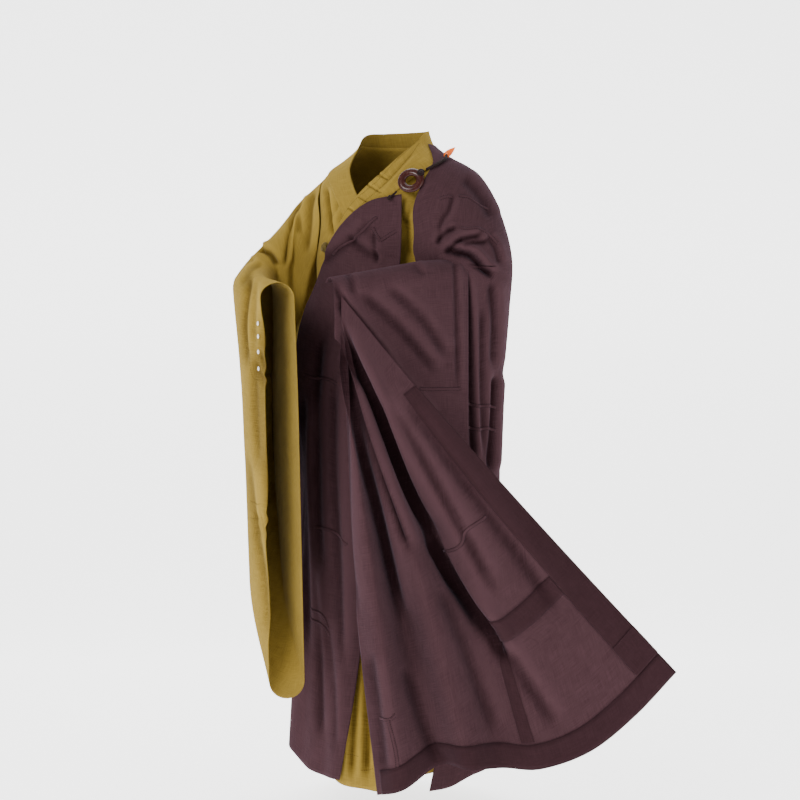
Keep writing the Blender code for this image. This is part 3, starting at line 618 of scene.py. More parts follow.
def robe_grid(turn_from, turn_to, wide, high, start_edge=None, end_edge=None):
    """A stretch of the outer robe round the body, between two turns, from hem to upper edge."""
    nominal = np.linspace(turn_from, turn_to, wide)[:, None]
    rising = ROBE_EDGES[::-1]
    top = through(column(rising, 0), column(rising, 1), nominal)
    hem = through(column(rising, 0), column(rising, 2), nominal)
    rows = bodice_rows(0.0, 1.0, high)[None, :]
    up = hem + (top - hem) * rows
    first = turn_from if start_edge is None else edge_turn(start_edge, up) - 360
    last = turn_to if end_edge is None else edge_turn(end_edge, up)
    part = (nominal - turn_from) / (turn_to - turn_from)
    turn = first + (last - first) * part
    return over_body(turn, up, robe_out(up), bulge=1.0)


def drape_point(along, drop):
    """The cloth over the left forearm: below the arm's crown it hangs straight, behind and in front.

    A drop under 0 is behind the arm, toward the body, and over 0 in front of it.
    """
    along, drop = np.broadcast_arrays(np.asarray(along, float), np.asarray(drop, float))
    knots = np.arange(len(LEFT_SLEEVE) + 1)
    at = along * len(LEFT_SLEEVE)
    first = armhole_loop(1, SLEEVE_SIDES)[0] + np.array([0, 0, SHOULDER_UP])
    crown = through(knots, [first, *column(LEFT_SLEEVE, 1)], at)
    face = np.radians(through(knots, [90.0, *column(LEFT_SLEEVE, 3)], at))
    close = soft_step((along - ELBOW_CLEAR_FROM) / ELBOW_CLEAR_OVER)
    clear = ELBOW_CLEAR + (DRAPE_CLEAR - ELBOW_CLEAR) * close
    lift = (GOWN_WALL + ROBE_WALL) / 2 + clear
    half = through(knots, [ARMHOLE_HALF, *column(LEFT_SLEEVE, 4)], at) + lift
    bend = half * math.pi / 2
    turn = np.clip(np.abs(drop) / bend, 0, 1) * math.pi / 2
    side = np.sign(drop) * half * np.sin(turn)
    fall = half * (1 - np.cos(turn)) + np.clip(np.abs(drop) - bend, 0, None)
    outward = np.stack([np.cos(face), np.sin(face), 0 * face], axis=-1)
    place = crown + outward * side[..., None]
    place[..., 2] += lift - fall - SHOULDER_UP
    return place


def drape_grid(wide=90, high=130):
    """The cloth over the forearm, from its back edge over the arm to where it ends in front."""
    along = np.linspace(FOREARM_DRAPE[0][0], FOREARM_DRAPE[-1][0], wide)[:, None]
    behind = through(column(FOREARM_DRAPE, 0), column(FOREARM_DRAPE, 1), along)
    before = through(column(FOREARM_DRAPE, 0), column(FOREARM_DRAPE, 2), along)
    drop = -behind + (before + behind) * np.linspace(0, 1, high)[None, :]
    return drape_point(along, drop)


def swung_net():
    """Rays of the swung folds: each starts on the drape by the wrist and runs to the hem."""
    face = math.radians(LEFT_SLEEVE[-1][3])
    off_drape = np.array([math.cos(face), math.sin(face), 0]) * (ROBE_WALL + DRAPE_TOUCH)
    rays = []
    for name, start, *stations in SWUNG_FOLDS:
        top = drape_point(FOLDS_ALONG, start + FOLDS_DROP) + off_drape
        rays.append([top, *(seen(*station) for station in stations)])
    return np.array(rays)


def swung_point(ray, along):
    """A place on the swung folds, by ray number and share of the way from wrist to hem."""
    net = swung_net()
    ray, along = np.broadcast_arrays(np.asarray(ray, float), np.asarray(along, float))
    ray_weights = through(np.arange(len(net)), np.eye(len(net)), ray)
    stop_weights = through(SWUNG_STOPS, np.eye(len(SWUNG_STOPS)), along)
    return np.einsum("...r,...s,rsk->...k", ray_weights, stop_weights, net)


def border_ray(along):
    """Inner line of the border along the robe's edge, as a ray number at shares of its length."""
    return len(SWUNG_FOLDS) - 1 - BORDER_RAYS / (1 + along / BORDER_NARROWS)


def swung_grid(rays=170, rows=210):
    """The folds and the swung corner, from the slit edge to the robe's edge."""
    ray = np.linspace(0, len(SWUNG_FOLDS) - 1, rays)[:, None]
    return swung_point(ray, np.linspace(0, 1, rows)[None, :])

print("a sleeve's grid:", sleeve_grid(RIGHT_SLEEVE, -1, SLEEVE_RIPPLE).shape)

# %% [markdown]
# ## Shader arithmetic on wires
#
# Cloth colour is a sum of small effects: thread, slub, fade and shadow. Written as arithmetic on
# wires it reads like the sentence it stands for. A wire holds one socket. Plain numbers meet in
# Math nodes, places and directions in Vector Math nodes, and colours in Mix nodes.

# %% Wires
class Wire:
    """A node socket that takes part in arithmetic."""

    def __init__(self, tree, socket):
        self.tree = tree
        self.socket = socket

    def node(self, kind, settings=None, inputs=None, output=0):
        """A new node: its type, its settings, then its inputs; the wire of one output."""
        made = self.tree.nodes.new(kind)
        for name, value in (settings or {}).items():
            setattr(made, name, value)
        for name, value in (inputs or {}).items():
            if isinstance(value, Wire):
                self.tree.links.new(value.socket, made.inputs[name])
            else:
                made.inputs[name].default_value = value
        return Wire(self.tree, made.outputs[output])

    def maths(self, operation, first, second):
        directions = [w for w in (first, second) if isinstance(w, Wire) and w.socket.type == "VECTOR"]
        if directions:
            spread = [w if isinstance(w, Wire) else (w, w, w) for w in (first, second)]
            return self.node("ShaderNodeVectorMath", {"operation": operation}, {0: spread[0], 1: spread[1]})
        return self.node("ShaderNodeMath", {"operation": operation}, {0: first, 1: second})

    def __add__(self, other):
        return self.maths("ADD", self, other)

    def __radd__(self, other):
        return self.maths("ADD", other, self)

    def __sub__(self, other):
        return self.maths("SUBTRACT", self, other)

    def __rsub__(self, other):
        return self.maths("SUBTRACT", other, self)

    def __mul__(self, other):
        return self.maths("MULTIPLY", self, other)

    def __rmul__(self, other):
        return self.maths("MULTIPLY", other, self)

    def __truediv__(self, other):
        return self.maths("DIVIDE", self, other)

    def power(self, other):
        return self.maths("POWER", self, other)

    def wave(self):
        return self.node("ShaderNodeMath", {"operation": "SINE"}, {0: self})

    def clamp(self):
        return self.node("ShaderNodeClamp", {}, {"Value": self})

    def part(self, letter):
        return self.node("ShaderNodeSeparateXYZ", {}, {"Vector": self}, output=letter)

    def stretched(self, across, along, through_it=1.0):
        """The place scaled on each axis, so that noise made from it turns into threads."""
        scale = (across, along, through_it)
        return self.node("ShaderNodeVectorMath", {"operation": "MULTIPLY"}, {0: self, 1: scale})

    def noise(self, scale, detail=2.0):
        return self.node("ShaderNodeTexNoise", {}, {"Vector": self, "Scale": scale, "Detail": detail})

    def mixed(self, first, second):
        """Colour that goes from first to second as this wire goes from 0 to 1."""
        settings = {"data_type": "RGBA"}
        inputs = {"Factor": self, 6: first, 7: second}
        return self.node("ShaderNodeMix", settings, inputs, output=2)


def new_material(name):
    """An empty Principled material: its surface node and a wire to build from."""
    made = bpy.data.materials.new(name)
    made.use_nodes = True
    surface = made.node_tree.nodes["Principled BSDF"]
    return made, surface, Wire(made.node_tree, surface.outputs[0])


def plug(surface, name, wire):
    """Feeds a varying value into the surface."""
    surface.id_data.links.new(wire.socket, surface.inputs[name])


def fixed(surface, **values):
    """Sets constants on the surface's own sockets; an underline in a name stands for a space."""
    for name, value in values.items():
        surface.inputs[name.replace("_", " ")].default_value = value


def bumped(surface, start, height, strength, distance):
    """Lets a height wire shape the surface's normal."""
    bump = start.node("ShaderNodeBump", {}, {"Height": height, "Strength": strength, "Distance": distance})
    plug(surface, "Normal", bump)


# %% [markdown]
# ## The two cloths
#
# Both garments are plain weave. Warp and weft cross about every millimetre here, a little coarser
# than on the real cloth, so that they still show. Slubs are thick places in a thread: noise drawn
# out along the thread. Mustard cotton is dull with a soft fuzz, and the dark cloth is thinner and
# has a faint violet sheen where it turns away from the eye. Both carry painted shade in the hollows
# of folds, where the light doesn't reach, and a little painted highlight on the ridges of folds.

# %% Cloth materials
THREADS_PER_METRE = 900.0
SLUB_LONG = 25.0
SLUB_FINE = 700.0
CRUMPLE = 9.0


def cloth(name, lit, deep, sheen_tint, sheen, rough, fade=0.5):
    """Woven cloth: thread and slub in the bump; fade, painted fold shade and painted ridge highlight in the
    colour.
    """
    made, surface, start = new_material(name)
    place = start.node("ShaderNodeUVMap", {"uv_map": "cloth"})
    across = (place.part("X") * (THREADS_PER_METRE * 2 * math.pi)).wave()
    along = (place.part("Y") * (THREADS_PER_METRE * 2 * math.pi)).wave()
    weave = across * along * 0.5 + 0.5
    warp_slub = place.stretched(SLUB_FINE, SLUB_LONG).noise(1.0, 3.0)
    weft_slub = place.stretched(SLUB_LONG, SLUB_FINE).noise(1.0, 3.0)
    slub = (warp_slub + weft_slub) * 0.5
    body = start.node("ShaderNodeTexCoord", output="Object")
    crumple = body.noise(26.0, 5.0)
    bumped(surface, start, weave * 0.35 + slub * 1.6 + crumple * CRUMPLE, 0.45, 0.0006)
    broad = body.noise(4.0, 3.0)
    fine = body.noise(38.0, 4.0)
    # Painted shade: this attribute darkens the colour in fold troughs, and its negative values on ridges lighten
    # it as painted highlight.
    painted_fold_shade = start.node("ShaderNodeAttribute", {"attribute_name": "painted_fold_shade"}, output=2)
    tone = (broad - 0.5) * fade + (fine - 0.5) * (fade * 0.4) + (slub - 0.5) * 1.5 + 0.22
    colour = (tone + painted_fold_shade * 0.75).clamp().mixed((*lit, 1.0), (*deep, 1.0))
    plug(surface, "Base Color", colour)
    plug(surface, "Roughness", (slub - 0.5) * 0.3 + rough)
    fixed(surface, Sheen_Weight=sheen, Sheen_Roughness=0.45, Sheen_Tint=(*sheen_tint, 1.0))
    fixed(surface, Specular_IOR_Level=0.0)
    return made


# Each cloth goes from its lit colour to its deep one with random tone, and also with the painted fold shade.
MUSTARD_LIT = (0.268, 0.178, 0.034)
MUSTARD_DEEP = (0.072, 0.042, 0.006)
DARK_LIT = (0.052, 0.0255, 0.0300)
DARK_DEEP = (0.012, 0.0050, 0.0060)
# The band colour is painted darker than the field: painted shade for the light that doubled cloth holds back.
BAND_LIT = (0.030, 0.0140, 0.0165)
gown_cloth = cloth("gown_cloth_woven", MUSTARD_LIT, MUSTARD_DEEP, (1.0, 0.86, 0.45), 0.10, 0.88)
robe_cloth = cloth("robe_cloth_woven", DARK_LIT, DARK_DEEP, (0.72, 0.60, 0.78), 0.06, 0.82)
band_cloth = cloth("band_cloth_woven", BAND_LIT, DARK_DEEP, (0.72, 0.60, 0.78), 0.05, 0.82)
print("cloth materials:", gown_cloth.name, robe_cloth.name, band_cloth.name)

# %% [markdown]
# ## How a fold is put in
#
# Cloth that hangs from a shoulder or an elbow makes folds that start sharp and fan out. Each one
# here is a row in a table: its depth, its width and the line that it follows, as it is seen from
# the eye. A fold is a soft trough with a low ridge on its upper side. It fades at both ends. Folds
# on the sides that the eye doesn't see are laid out round the body instead, in turns and heights.

# %% Folds
FOLD_SAMPLES = 28
FOLD_FADE = 0.16
RIDGE_SHARE = 0.55
RIDGE_AWAY = 1.7
# Fold depth at which the painted shade in a trough is full.
PAINTED_SHADE_FULL_DEPTH = 0.009


def route_of(points, count=FOLD_SAMPLES):
    """A smooth line through a few places, as evenly numbered points."""
    points = np.array(points, float)
    return through(np.arange(len(points)), points, np.linspace(0, len(points) - 1, count))


def off_route(flat, route):
    """Signed distance of flat places from a route, and the share of it where each one is nearest."""
    start, step = route[:-1], np.diff(route, axis=0)
    long = np.sum(step * step, axis=1)
    gap = flat[:, None] - start
    t = np.clip(np.sum(gap * step, axis=-1) / long, 0, 1)
    away = gap - step * t[..., None]
    reach = np.hypot(away[..., 0], away[..., 1])
    best = np.argmin(reach, axis=1)
    rows = np.arange(len(flat))
    side = np.sign(step[best, 0] * gap[rows, best, 1] - step[best, 1] * gap[rows, best, 0])
    return reach[rows, best] * np.where(side == 0, 1, side), (best + t[rows, best]) / len(step)


def fold_height(flat, folds):
    """Height of the folds at flat places: troughs under 0 and their ridges over it."""
    places = flat.reshape(-1, 2)
    height = np.zeros(len(places))
    for depth, width, *points in folds:
        route = route_of(points)
        low, high = route.min(axis=0) - 4 * width, route.max(axis=0) + 4 * width
        near = np.all((places > low) & (places < high), axis=1)
        away, share = off_route(places[near], route)
        fade = soft_step(share / FOLD_FADE) * soft_step((1 - share) / FOLD_FADE)
        trough = -np.exp(-(away / width) ** 2)
        ridge = RIDGE_SHARE * np.exp(-((away - RIDGE_AWAY * width) / (1.2 * width)) ** 2)
        height[near] += depth * fade * (trough + ridge)
    return height.reshape(flat.shape[:-1])


def folded(grid, folds, hidden_folds=(), outward=1, ring=False):
    """The grid with its folds put in along its normals, and the painted fold shade of each place: more in deep
    troughs, negative on ridges as painted highlight.
    """
    normal = grid_normals(grid, ring) * outward
    right, up, near = as_seen(grid)
    eye = seen(0.0, EYE_UP, EYE_DISTANCE)
    facing = soft_step(np.sum(normal * unit(eye - grid), axis=-1) * 5 + 0.5)
    height = fold_height(np.stack([right, up], axis=-1), folds) * facing
    if hidden_folds:
        turn = np.degrees(np.arctan2(grid[..., 0], -grid[..., 1]))
        round_body = np.stack([turn * METRES_PER_DEGREE, grid[..., 2] + SHOULDER_UP], axis=-1)
        height = height + fold_height(round_body, hidden_folds) * (1 - facing)
    # Painted shade from fold depth; ridges go down to -0.35, a painted highlight.
    painted_fold_shade = np.clip(-height / PAINTED_SHADE_FULL_DEPTH, -0.35, 1)
    return grid + normal * height[..., None], painted_fold_shade


METRES_PER_DEGREE = 0.0035
print("a trough 8 mm deep, at its middle:", fold_height(np.array([[0.0, 0.5]]), [(0.008, 0.01, (0, 0), (0, 1))]))

# %% [markdown]
# ## Cutting a shell
#
# A shell is a grid with two skins and a rim, like cloth that has a thickness. Its own map is in
# metres along the cloth, so that threads have the same size on every piece.

# %% Shells
GOWN_CLOTH = 0.0012
ROBE_CLOTH = 0.0012
BAND_CLOTH = 0.0008


def cloth_map(grid, ring):
    """Metres along the cloth, across and along, at each place of a grid."""
    across = np.linalg.norm(np.diff(grid, axis=0), axis=-1)
    along = np.linalg.norm(np.diff(grid, axis=1), axis=-1)
    u = np.concatenate([np.zeros((1, grid.shape[1])), np.cumsum(across, axis=0)])
    v = np.concatenate([np.zeros((grid.shape[0], 1)), np.cumsum(along, axis=1)], axis=1)
    return np.stack([u, v], axis=-1)


def shell_faces(wide, high, ring):
    number = np.arange(wide * high).reshape(wide, high)
    if ring:
        number = np.concatenate([number, number[:1]])
    a, b = number[:-1, :-1].ravel(), number[1:, :-1].ravel()
    c, d = number[1:, 1:].ravel(), number[:-1, 1:].ravel()
    inside = wide * high
    faces = [np.stack([a, b, c, d], 1), np.stack([a, d, c, b], 1) + inside]
    rims = [number[::-1, 0], number[:, -1]]
    if not ring:
        rims += [number[0], number[-1, ::-1]]
    for rim in rims:
        p, q = rim[:-1], rim[1:]
        faces.append(np.stack([p, p + inside, q + inside, q], 1)[:, ::-1])
    return np.concatenate(faces)


def mesh_of(name, points, faces, material):
    """A smooth mesh object at the origin, from arrays of places and of four-cornered faces."""
    mesh = bpy.data.meshes.new(name)
    mesh.vertices.add(len(points))
    mesh.vertices.foreach_set("co", np.asarray(points, np.float32).ravel())
    mesh.loops.add(faces.size)
    mesh.loops.foreach_set("vertex_index", faces.ravel().astype(np.int32))
    mesh.polygons.add(len(faces))
    mesh.polygons.foreach_set("loop_start", (np.arange(len(faces)) * faces.shape[1]).astype(np.int32))
    mesh.update(calc_edges=True)
    mesh.validate()
    mesh.shade_smooth()
    mesh.materials.append(material)
    thing = bpy.data.objects.new(name, mesh)
    bpy.context.scene.collection.objects.link(thing)
    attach(thing, "root")
    return thing


def dress(thing, flat_map, painted_fold_shade, faces):
    """Gives a mesh its cloth map and the painted fold shade that its material reads."""
    mesh = thing.data
    layer = mesh.uv_layers.new(name="cloth")
    layer.data.foreach_set("uv", flat_map[faces.ravel()].astype(np.float32).ravel())
    value = mesh.attributes.new("painted_fold_shade", "FLOAT", "POINT")
    value.data.foreach_set("value", np.asarray(painted_fold_shade, np.float32).ravel())


def shell(name, grid, thickness, material, painted_fold_shade=None, ring=False):
    """A closed shell on a grid, both skins half a thickness away."""
    normal = grid_normals(grid, ring)
    points = np.concatenate([(grid + side * normal * thickness / 2).reshape(-1, 3) for side in (1, -1)])
    faces = shell_faces(*grid.shape[:2], ring)
    thing = mesh_of(name, points, faces, material)
    if painted_fold_shade is None:
        painted_fold_shade = np.zeros(grid.shape[:2])
    dress(thing, np.tile(cloth_map(grid, ring).reshape(-1, 2), (2, 1)), np.tile(painted_fold_shade.ravel(), 2), faces)
    return thing


print("faces in a 20 by 30 shell:", len(shell_faces(20, 30, False)))

# %% [markdown]
# ## The gown
#
# The gown is cut flat in a few large pieces: two fronts, a back and two sleeves as wide as they
# are long. The left front laps over the right one, and a band three fingers wide closes the neck.
# The right sleeve shows most. It is pulled back at the elbow, so folds run down and out from
# there, and its long bag hangs in two layers that part at the mouth.

# %% The gown's folds and shells
SLEEVE_FOLDS = (
    (0.011, 0.006, (-0.214, 1.345), (-0.230, 1.313), (-0.238, 1.272), (-0.244, 1.233), (-0.250, 1.190)),
    (0.010, 0.006, (-0.314, 1.272), (-0.300, 1.238), (-0.279, 1.223), (-0.262, 1.196)),
    (0.008, 0.005, (-0.346, 1.248), (-0.320, 1.236), (-0.294, 1.234)),
    (0.007, 0.009, (-0.182, 1.372), (-0.191, 1.329), (-0.194, 1.290), (-0.203, 1.215)),
    (0.008, 0.006, (-0.155, 1.380), (-0.150, 1.334), (-0.146, 1.298), (-0.140, 1.262)),
    (0.004, 0.005, (-0.122, 1.366), (-0.135, 1.330), (-0.146, 1.298)),
    (0.005, 0.006, (-0.210, 1.368), (-0.216, 1.320), (-0.214, 1.262)),
    (0.005, 0.005, (-0.362, 1.170), (-0.339, 1.202), (-0.314, 1.214)),
    (0.005, 0.006, (-0.350, 1.150), (-0.326, 1.188), (-0.296, 1.204)),
    (0.009, 0.008, (-0.322, 1.190), (-0.334, 1.130), (-0.340, 1.060), (-0.334, 0.960)),
    (0.007, 0.009, (-0.310, 1.186), (-0.318, 1.110), (-0.320, 1.020), (-0.316, 0.860), (-0.306, 0.680)),
    (0.010, 0.011, (-0.290, 1.130), (-0.300, 0.980), (-0.296, 0.800), (-0.280, 0.600), (-0.268, 0.420)),
    (0.007, 0.010, (-0.336, 0.800), (-0.318, 0.640), (-0.296, 0.500), (-0.284, 0.340)),
    (0.014, 0.010, (-0.266, 1.080), (-0.264, 0.900), (-0.262, 0.700), (-0.258, 0.520), (-0.250, 0.310)),
    (0.009, 0.010, (-0.240, 1.060), (-0.238, 0.860), (-0.236, 0.650), (-0.228, 0.400)),
    (0.005, 0.006, (-0.322, 0.644), (-0.296, 0.626), (-0.262, 0.636)),
    (0.004, 0.006, (-0.318, 0.612), (-0.292, 0.600), (-0.258, 0.614)),
    (0.006, 0.007, (-0.312, 1.010), (-0.296, 0.968), (-0.258, 0.946)),
    (0.005, 0.006, (-0.318, 0.990), (-0.304, 0.944), (-0.280, 0.930)),
)
SLEEVE_HIDDEN_FOLDS = (
    (0.010, 0.016, (-0.400, 1.300), (-0.402, 1.120), (-0.396, 0.860)),
    (0.007, 0.013, (-0.450, 1.280), (-0.440, 1.080), (-0.430, 0.900)),
    (0.006, 0.010, (-0.360, 1.330), (-0.352, 1.220), (-0.350, 1.130)),
    (0.009, 0.014, (-0.340, 1.180), (-0.335, 0.960), (-0.330, 0.720)),
    (0.006, 0.012, (-0.260, 1.160), (-0.245, 0.900), (-0.240, 0.600)),
)
FRONT_FOLDS = (
    (0.008, 0.006, (-0.155, 1.380), (-0.150, 1.334), (-0.146, 1.298), (-0.140, 1.262)),
    (0.004, 0.005, (-0.110, 1.395), (-0.126, 1.345), (-0.142, 1.300)),
    (0.004, 0.005, (-0.096, 1.392), (-0.112, 1.340), (-0.130, 1.292)),
    (0.003, 0.005, (-0.020, 1.400), (-0.052, 1.352), (-0.082, 1.318)),
    (0.003, 0.005, (0.034, 1.400), (0.004, 1.376), (-0.020, 1.352)),
    (0.006, 0.006, (0.012, 1.346), (0.016, 1.312), (0.030, 1.290)),
    (0.005, 0.006, (0.030, 1.330), (0.030, 1.270), (0.034, 1.215)),
    (0.010, 0.010, (-0.085, 0.360), (-0.092, 0.200), (-0.100, 0.030)),
    (0.012, 0.010, (-0.066, 0.400), (-0.064, 0.200), (-0.066, 0.030)),
    (0.008, 0.008, (-0.108, 0.300), (-0.118, 0.180), (-0.130, 0.030)),
    (0.007, 0.007, (-0.050, 0.320), (-0.046, 0.170), (-0.044, 0.030)),
)
COLLAR_FOLDS = (
    (0.0024, 0.004, (0.046, 1.458), (0.016, 1.424), (-0.014, 1.392), (-0.046, 1.362)),
    (0.0030, 0.0026, (-0.048, 1.412), (-0.034, 1.402), (-0.014, 1.390)),
    (0.0030, 0.0026, (-0.064, 1.382), (-0.048, 1.372), (-0.030, 1.360)),
    (0.0030, 0.0026, (-0.084, 1.354), (-0.066, 1.343), (-0.050, 1.333)),
    (0.0030, 0.0026, (-0.108, 1.330), (-0.092, 1.319), (-0.080, 1.310)),
)
BACK_FOLDS = (
    (0.007, 0.016, (0.560, 1.300), (0.580, 1.100), (0.600, 0.700), (0.590, 0.300)),
    (0.006, 0.014, (0.480, 1.250), (0.490, 0.900), (0.470, 0.400)),
    (0.007, 0.015, (-0.520, 1.300), (-0.540, 1.000), (-0.530, 0.500)),
    (0.005, 0.013, (-0.440, 1.200), (-0.450, 0.800), (-0.430, 0.200)),
)


def gown_shell(name, grid, folds, hidden=(), outward=1, ring=False):
    grid, painted_fold_shade = folded(grid, folds, hidden, outward, ring)
    made = shell(name, grid, GOWN_CLOTH, gown_cloth, painted_fold_shade, ring)
    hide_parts(name.removesuffix("_shell"))
    return made, grid


left_front, left_front_form = gown_shell("gown_left_front_shell", left_front_grid(), FRONT_FOLDS)
right_front, right_front_form = gown_shell("gown_right_front_shell", right_front_grid(), FRONT_FOLDS)
gown_back, gown_back_form = gown_shell("gown_back_shell", back_grid(), (), BACK_FOLDS)
collar_raw = collar_grid(LEFT_COLLAR, 0, 360, 34)
collar_left, collar_left_form = gown_shell("gown_collar_left_shell", collar_raw, COLLAR_FOLDS, outward=-1)
collar_right, collar_right_form = gown_shell("gown_collar_right_shell", collar_grid(RIGHT_COLLAR, 1), ())
right_sleeve_raw = sleeve_grid(RIGHT_SLEEVE, -1, SLEEVE_RIPPLE)
right_sleeve, right_sleeve_form = gown_shell(
    "gown_right_sleeve_shell", right_sleeve_raw, SLEEVE_FOLDS, SLEEVE_HIDDEN_FOLDS, ring=True
)
left_sleeve_raw = sleeve_grid(LEFT_SLEEVE, 1, 0.0, LEFT_SLEEVE_END, 60, 96)
left_sleeve, left_sleeve_form = gown_shell("gown_left_sleeve_shell", left_sleeve_raw, (), ring=True)
print("right sleeve spans in metres:", np.ptp(right_sleeve_form.reshape(-1, 3), axis=0).round(3))

# %% [markdown]
# ## The outer robe
#
# The robe is one large patched cloth, thrown round the body under the right arm and over the left
# shoulder. Its weight hangs from the clasp, so folds gather there and run down to the wrist, and
# the free corner swings away from the wrist in long rays with one deep fold between the skirts.

# %% The robe's folds and shells
ROBE_FRONT_FOLDS = (
    (0.005, 0.006, (-0.050, 1.278), (-0.046, 1.244), (-0.040, 1.200)),
    (0.006, 0.009, (-0.112, 1.268), (-0.070, 1.232), (-0.030, 1.214)),
    (0.005, 0.010, (-0.172, 1.200), (-0.110, 1.246), (-0.050, 1.300)),
    (0.009, 0.013, (-0.166, 1.060), (-0.178, 0.900), (-0.176, 0.700), (-0.168, 0.480)),
    (0.012, 0.014, (-0.208, 0.940), (-0.214, 0.760), (-0.206, 0.560), (-0.198, 0.300)),
    (0.007, 0.012, (-0.138, 0.980), (-0.140, 0.760), (-0.128, 0.520), (-0.122, 0.260)),
    (0.006, 0.010, (-0.180, 0.540), (-0.170, 0.330), (-0.166, 0.120)),
    (0.005, 0.009, (-0.156, 0.420), (-0.140, 0.260), (-0.136, 0.100)),
)
ROBE_SHOULDER_FOLDS = (
    (0.005, 0.006, (0.134, 1.366), (0.121, 1.324), (0.105, 1.298), (0.096, 1.250)),
    (0.008, 0.006, (0.090, 1.244), (0.104, 1.264), (0.120, 1.278), (0.140, 1.284)),
    (0.012, 0.007, (0.104, 1.222), (0.140, 1.252), (0.165, 1.262), (0.200, 1.268)),
    (0.008, 0.006, (0.150, 1.245), (0.176, 1.250), (0.212, 1.254)),
    (0.018, 0.008, (0.108, 1.234), (0.162, 1.226), (0.184, 1.210), (0.200, 1.191), (0.226, 1.174)),
    (0.006, 0.007, (0.206, 1.268), (0.226, 1.238), (0.236, 1.200)),
    (0.006, 0.012, (0.150, 1.400), (0.190, 1.356), (0.222, 1.300)),
    (0.008, 0.010, (0.216, 1.170), (0.222, 1.080), (0.218, 0.960)),
    (0.010, 0.007, (0.160, 1.200), (0.168, 1.060), (0.172, 0.860), (0.178, 0.740)),
    (0.006, 0.009, (0.196, 1.120), (0.194, 0.960), (0.200, 0.760)),
    (0.014, 0.008, (0.226, 0.960), (0.222, 0.860), (0.214, 0.720)),
)
ROBE_BACK_FOLDS = (
    (0.010, 0.018, (0.420, 1.330), (0.440, 1.100), (0.450, 0.760), (0.440, 0.300)),
    (0.008, 0.016, (0.500, 1.340), (0.520, 1.050), (0.530, 0.600), (0.520, 0.150)),
    (0.006, 0.014, (0.580, 1.290), (0.600, 0.980), (0.605, 0.500)),
    (0.009, 0.017, (-0.600, 1.180), (-0.580, 0.900), (-0.590, 0.420)),
    (0.007, 0.015, (-0.520, 1.110), (-0.510, 0.800), (-0.500, 0.300)),
    (0.010, 0.016, (-0.430, 1.020), (-0.440, 0.700), (-0.430, 0.200)),
    (0.006, 0.012, (-0.350, 1.020), (-0.345, 0.640), (-0.350, 0.200)),
    (0.007, 0.012, (0.340, 1.300), (0.352, 1.000), (0.350, 0.500)),
    (0.006, 0.011, (-0.610, 1.250), (-0.520, 1.180), (-0.420, 1.080)),
)
DRAPE_FOLDS = (
    (0.0012, 0.010, (-0.120, 1.176), (-0.040, 1.196), (0.060, 1.192)),
    (0.004, 0.008, (-0.114, 1.196), (-0.100, 1.166), (-0.092, 1.130)),
    (0.003, 0.007, (0.040, 1.204), (0.056, 1.186), (0.070, 1.180)),
    (0.006, 0.008, (-0.142, 1.166), (-0.110, 1.110), (-0.064, 1.050), (0.000, 0.966)),
    (0.009, 0.010, (-0.138, 1.130), (-0.070, 1.040), (0.010, 0.940), (0.096, 0.840)),
    (0.006, 0.012, (-0.080, 1.140), (0.010, 1.056), (0.100, 0.950)),
    (0.005, 0.011, (-0.020, 1.156), (0.060, 1.080), (0.120, 0.990)),
    (0.005, 0.006, (0.134, 1.220), (0.138, 1.120), (0.142, 0.900)),
)
SWUNG_CREASES = (
    (0.006, 0.010, (-0.124, 1.030), (-0.112, 0.860), (-0.104, 0.580), (-0.084, 0.400)),
    (0.010, 0.012, (-0.114, 1.010), (-0.086, 0.830), (-0.042, 0.660), (-0.014, 0.540), (0.022, 0.380)),
    (0.024, 0.013, (-0.130, 1.076), (-0.050, 0.898), (-0.012, 0.810), (0.038, 0.690), (0.096, 0.580)),
    (0.018, 0.015, (0.070, 0.610), (0.130, 0.500), (0.200, 0.390), (0.250, 0.300)),
    (0.014, 0.011, (-0.124, 1.040), (-0.072, 0.850), (-0.020, 0.690), (0.040, 0.540)),
    (0.010, 0.014, (0.060, 0.640), (0.130, 0.500), (0.214, 0.360)),
    (0.006, 0.014, (-0.040, 0.920), (0.040, 0.800), (0.130, 0.640), (0.240, 0.440)),
    (0.006, 0.016, (0.000, 0.920), (0.120, 0.760), (0.240, 0.600), (0.380, 0.400)),
    (0.005, 0.015, (0.100, 0.480), (0.160, 0.330), (0.230, 0.130)),
    (0.006, 0.016, (0.180, 0.440), (0.270, 0.300), (0.370, 0.150)),
    (0.005, 0.014, (0.020, 0.300), (0.060, 0.180), (0.096, 0.080)),
    (0.006, 0.013, (-0.060, 0.340), (-0.040, 0.200), (-0.022, 0.040)),
)


# The shoulder stretch tucks in behind the forearm cloth, so its edge runs lower here than on the
# frame's wall, which has to stay clear of the sleeve. At the hem it comes forward behind the corner.
TUCKED_EDGE = (
    (0.060, 48.0),
    (0.300, 60.0),
    (0.900, 67.0),
    (1.120, 66.0),
    (1.175, 64.5),
    (1.186, 58.0),
    (1.194, 48.0),
    (1.210, 44.8),
    (1.260, 44.5),
    *SHOULDER_EDGE[8:],
)


def robe_shell(name, grid, folds, hidden=(), outward=1):
    grid, painted_fold_shade = folded(grid, folds, hidden, outward)
    made = shell(name, grid, ROBE_CLOTH, robe_cloth, painted_fold_shade)
    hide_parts(name.removesuffix("_shell"))
    return made, grid


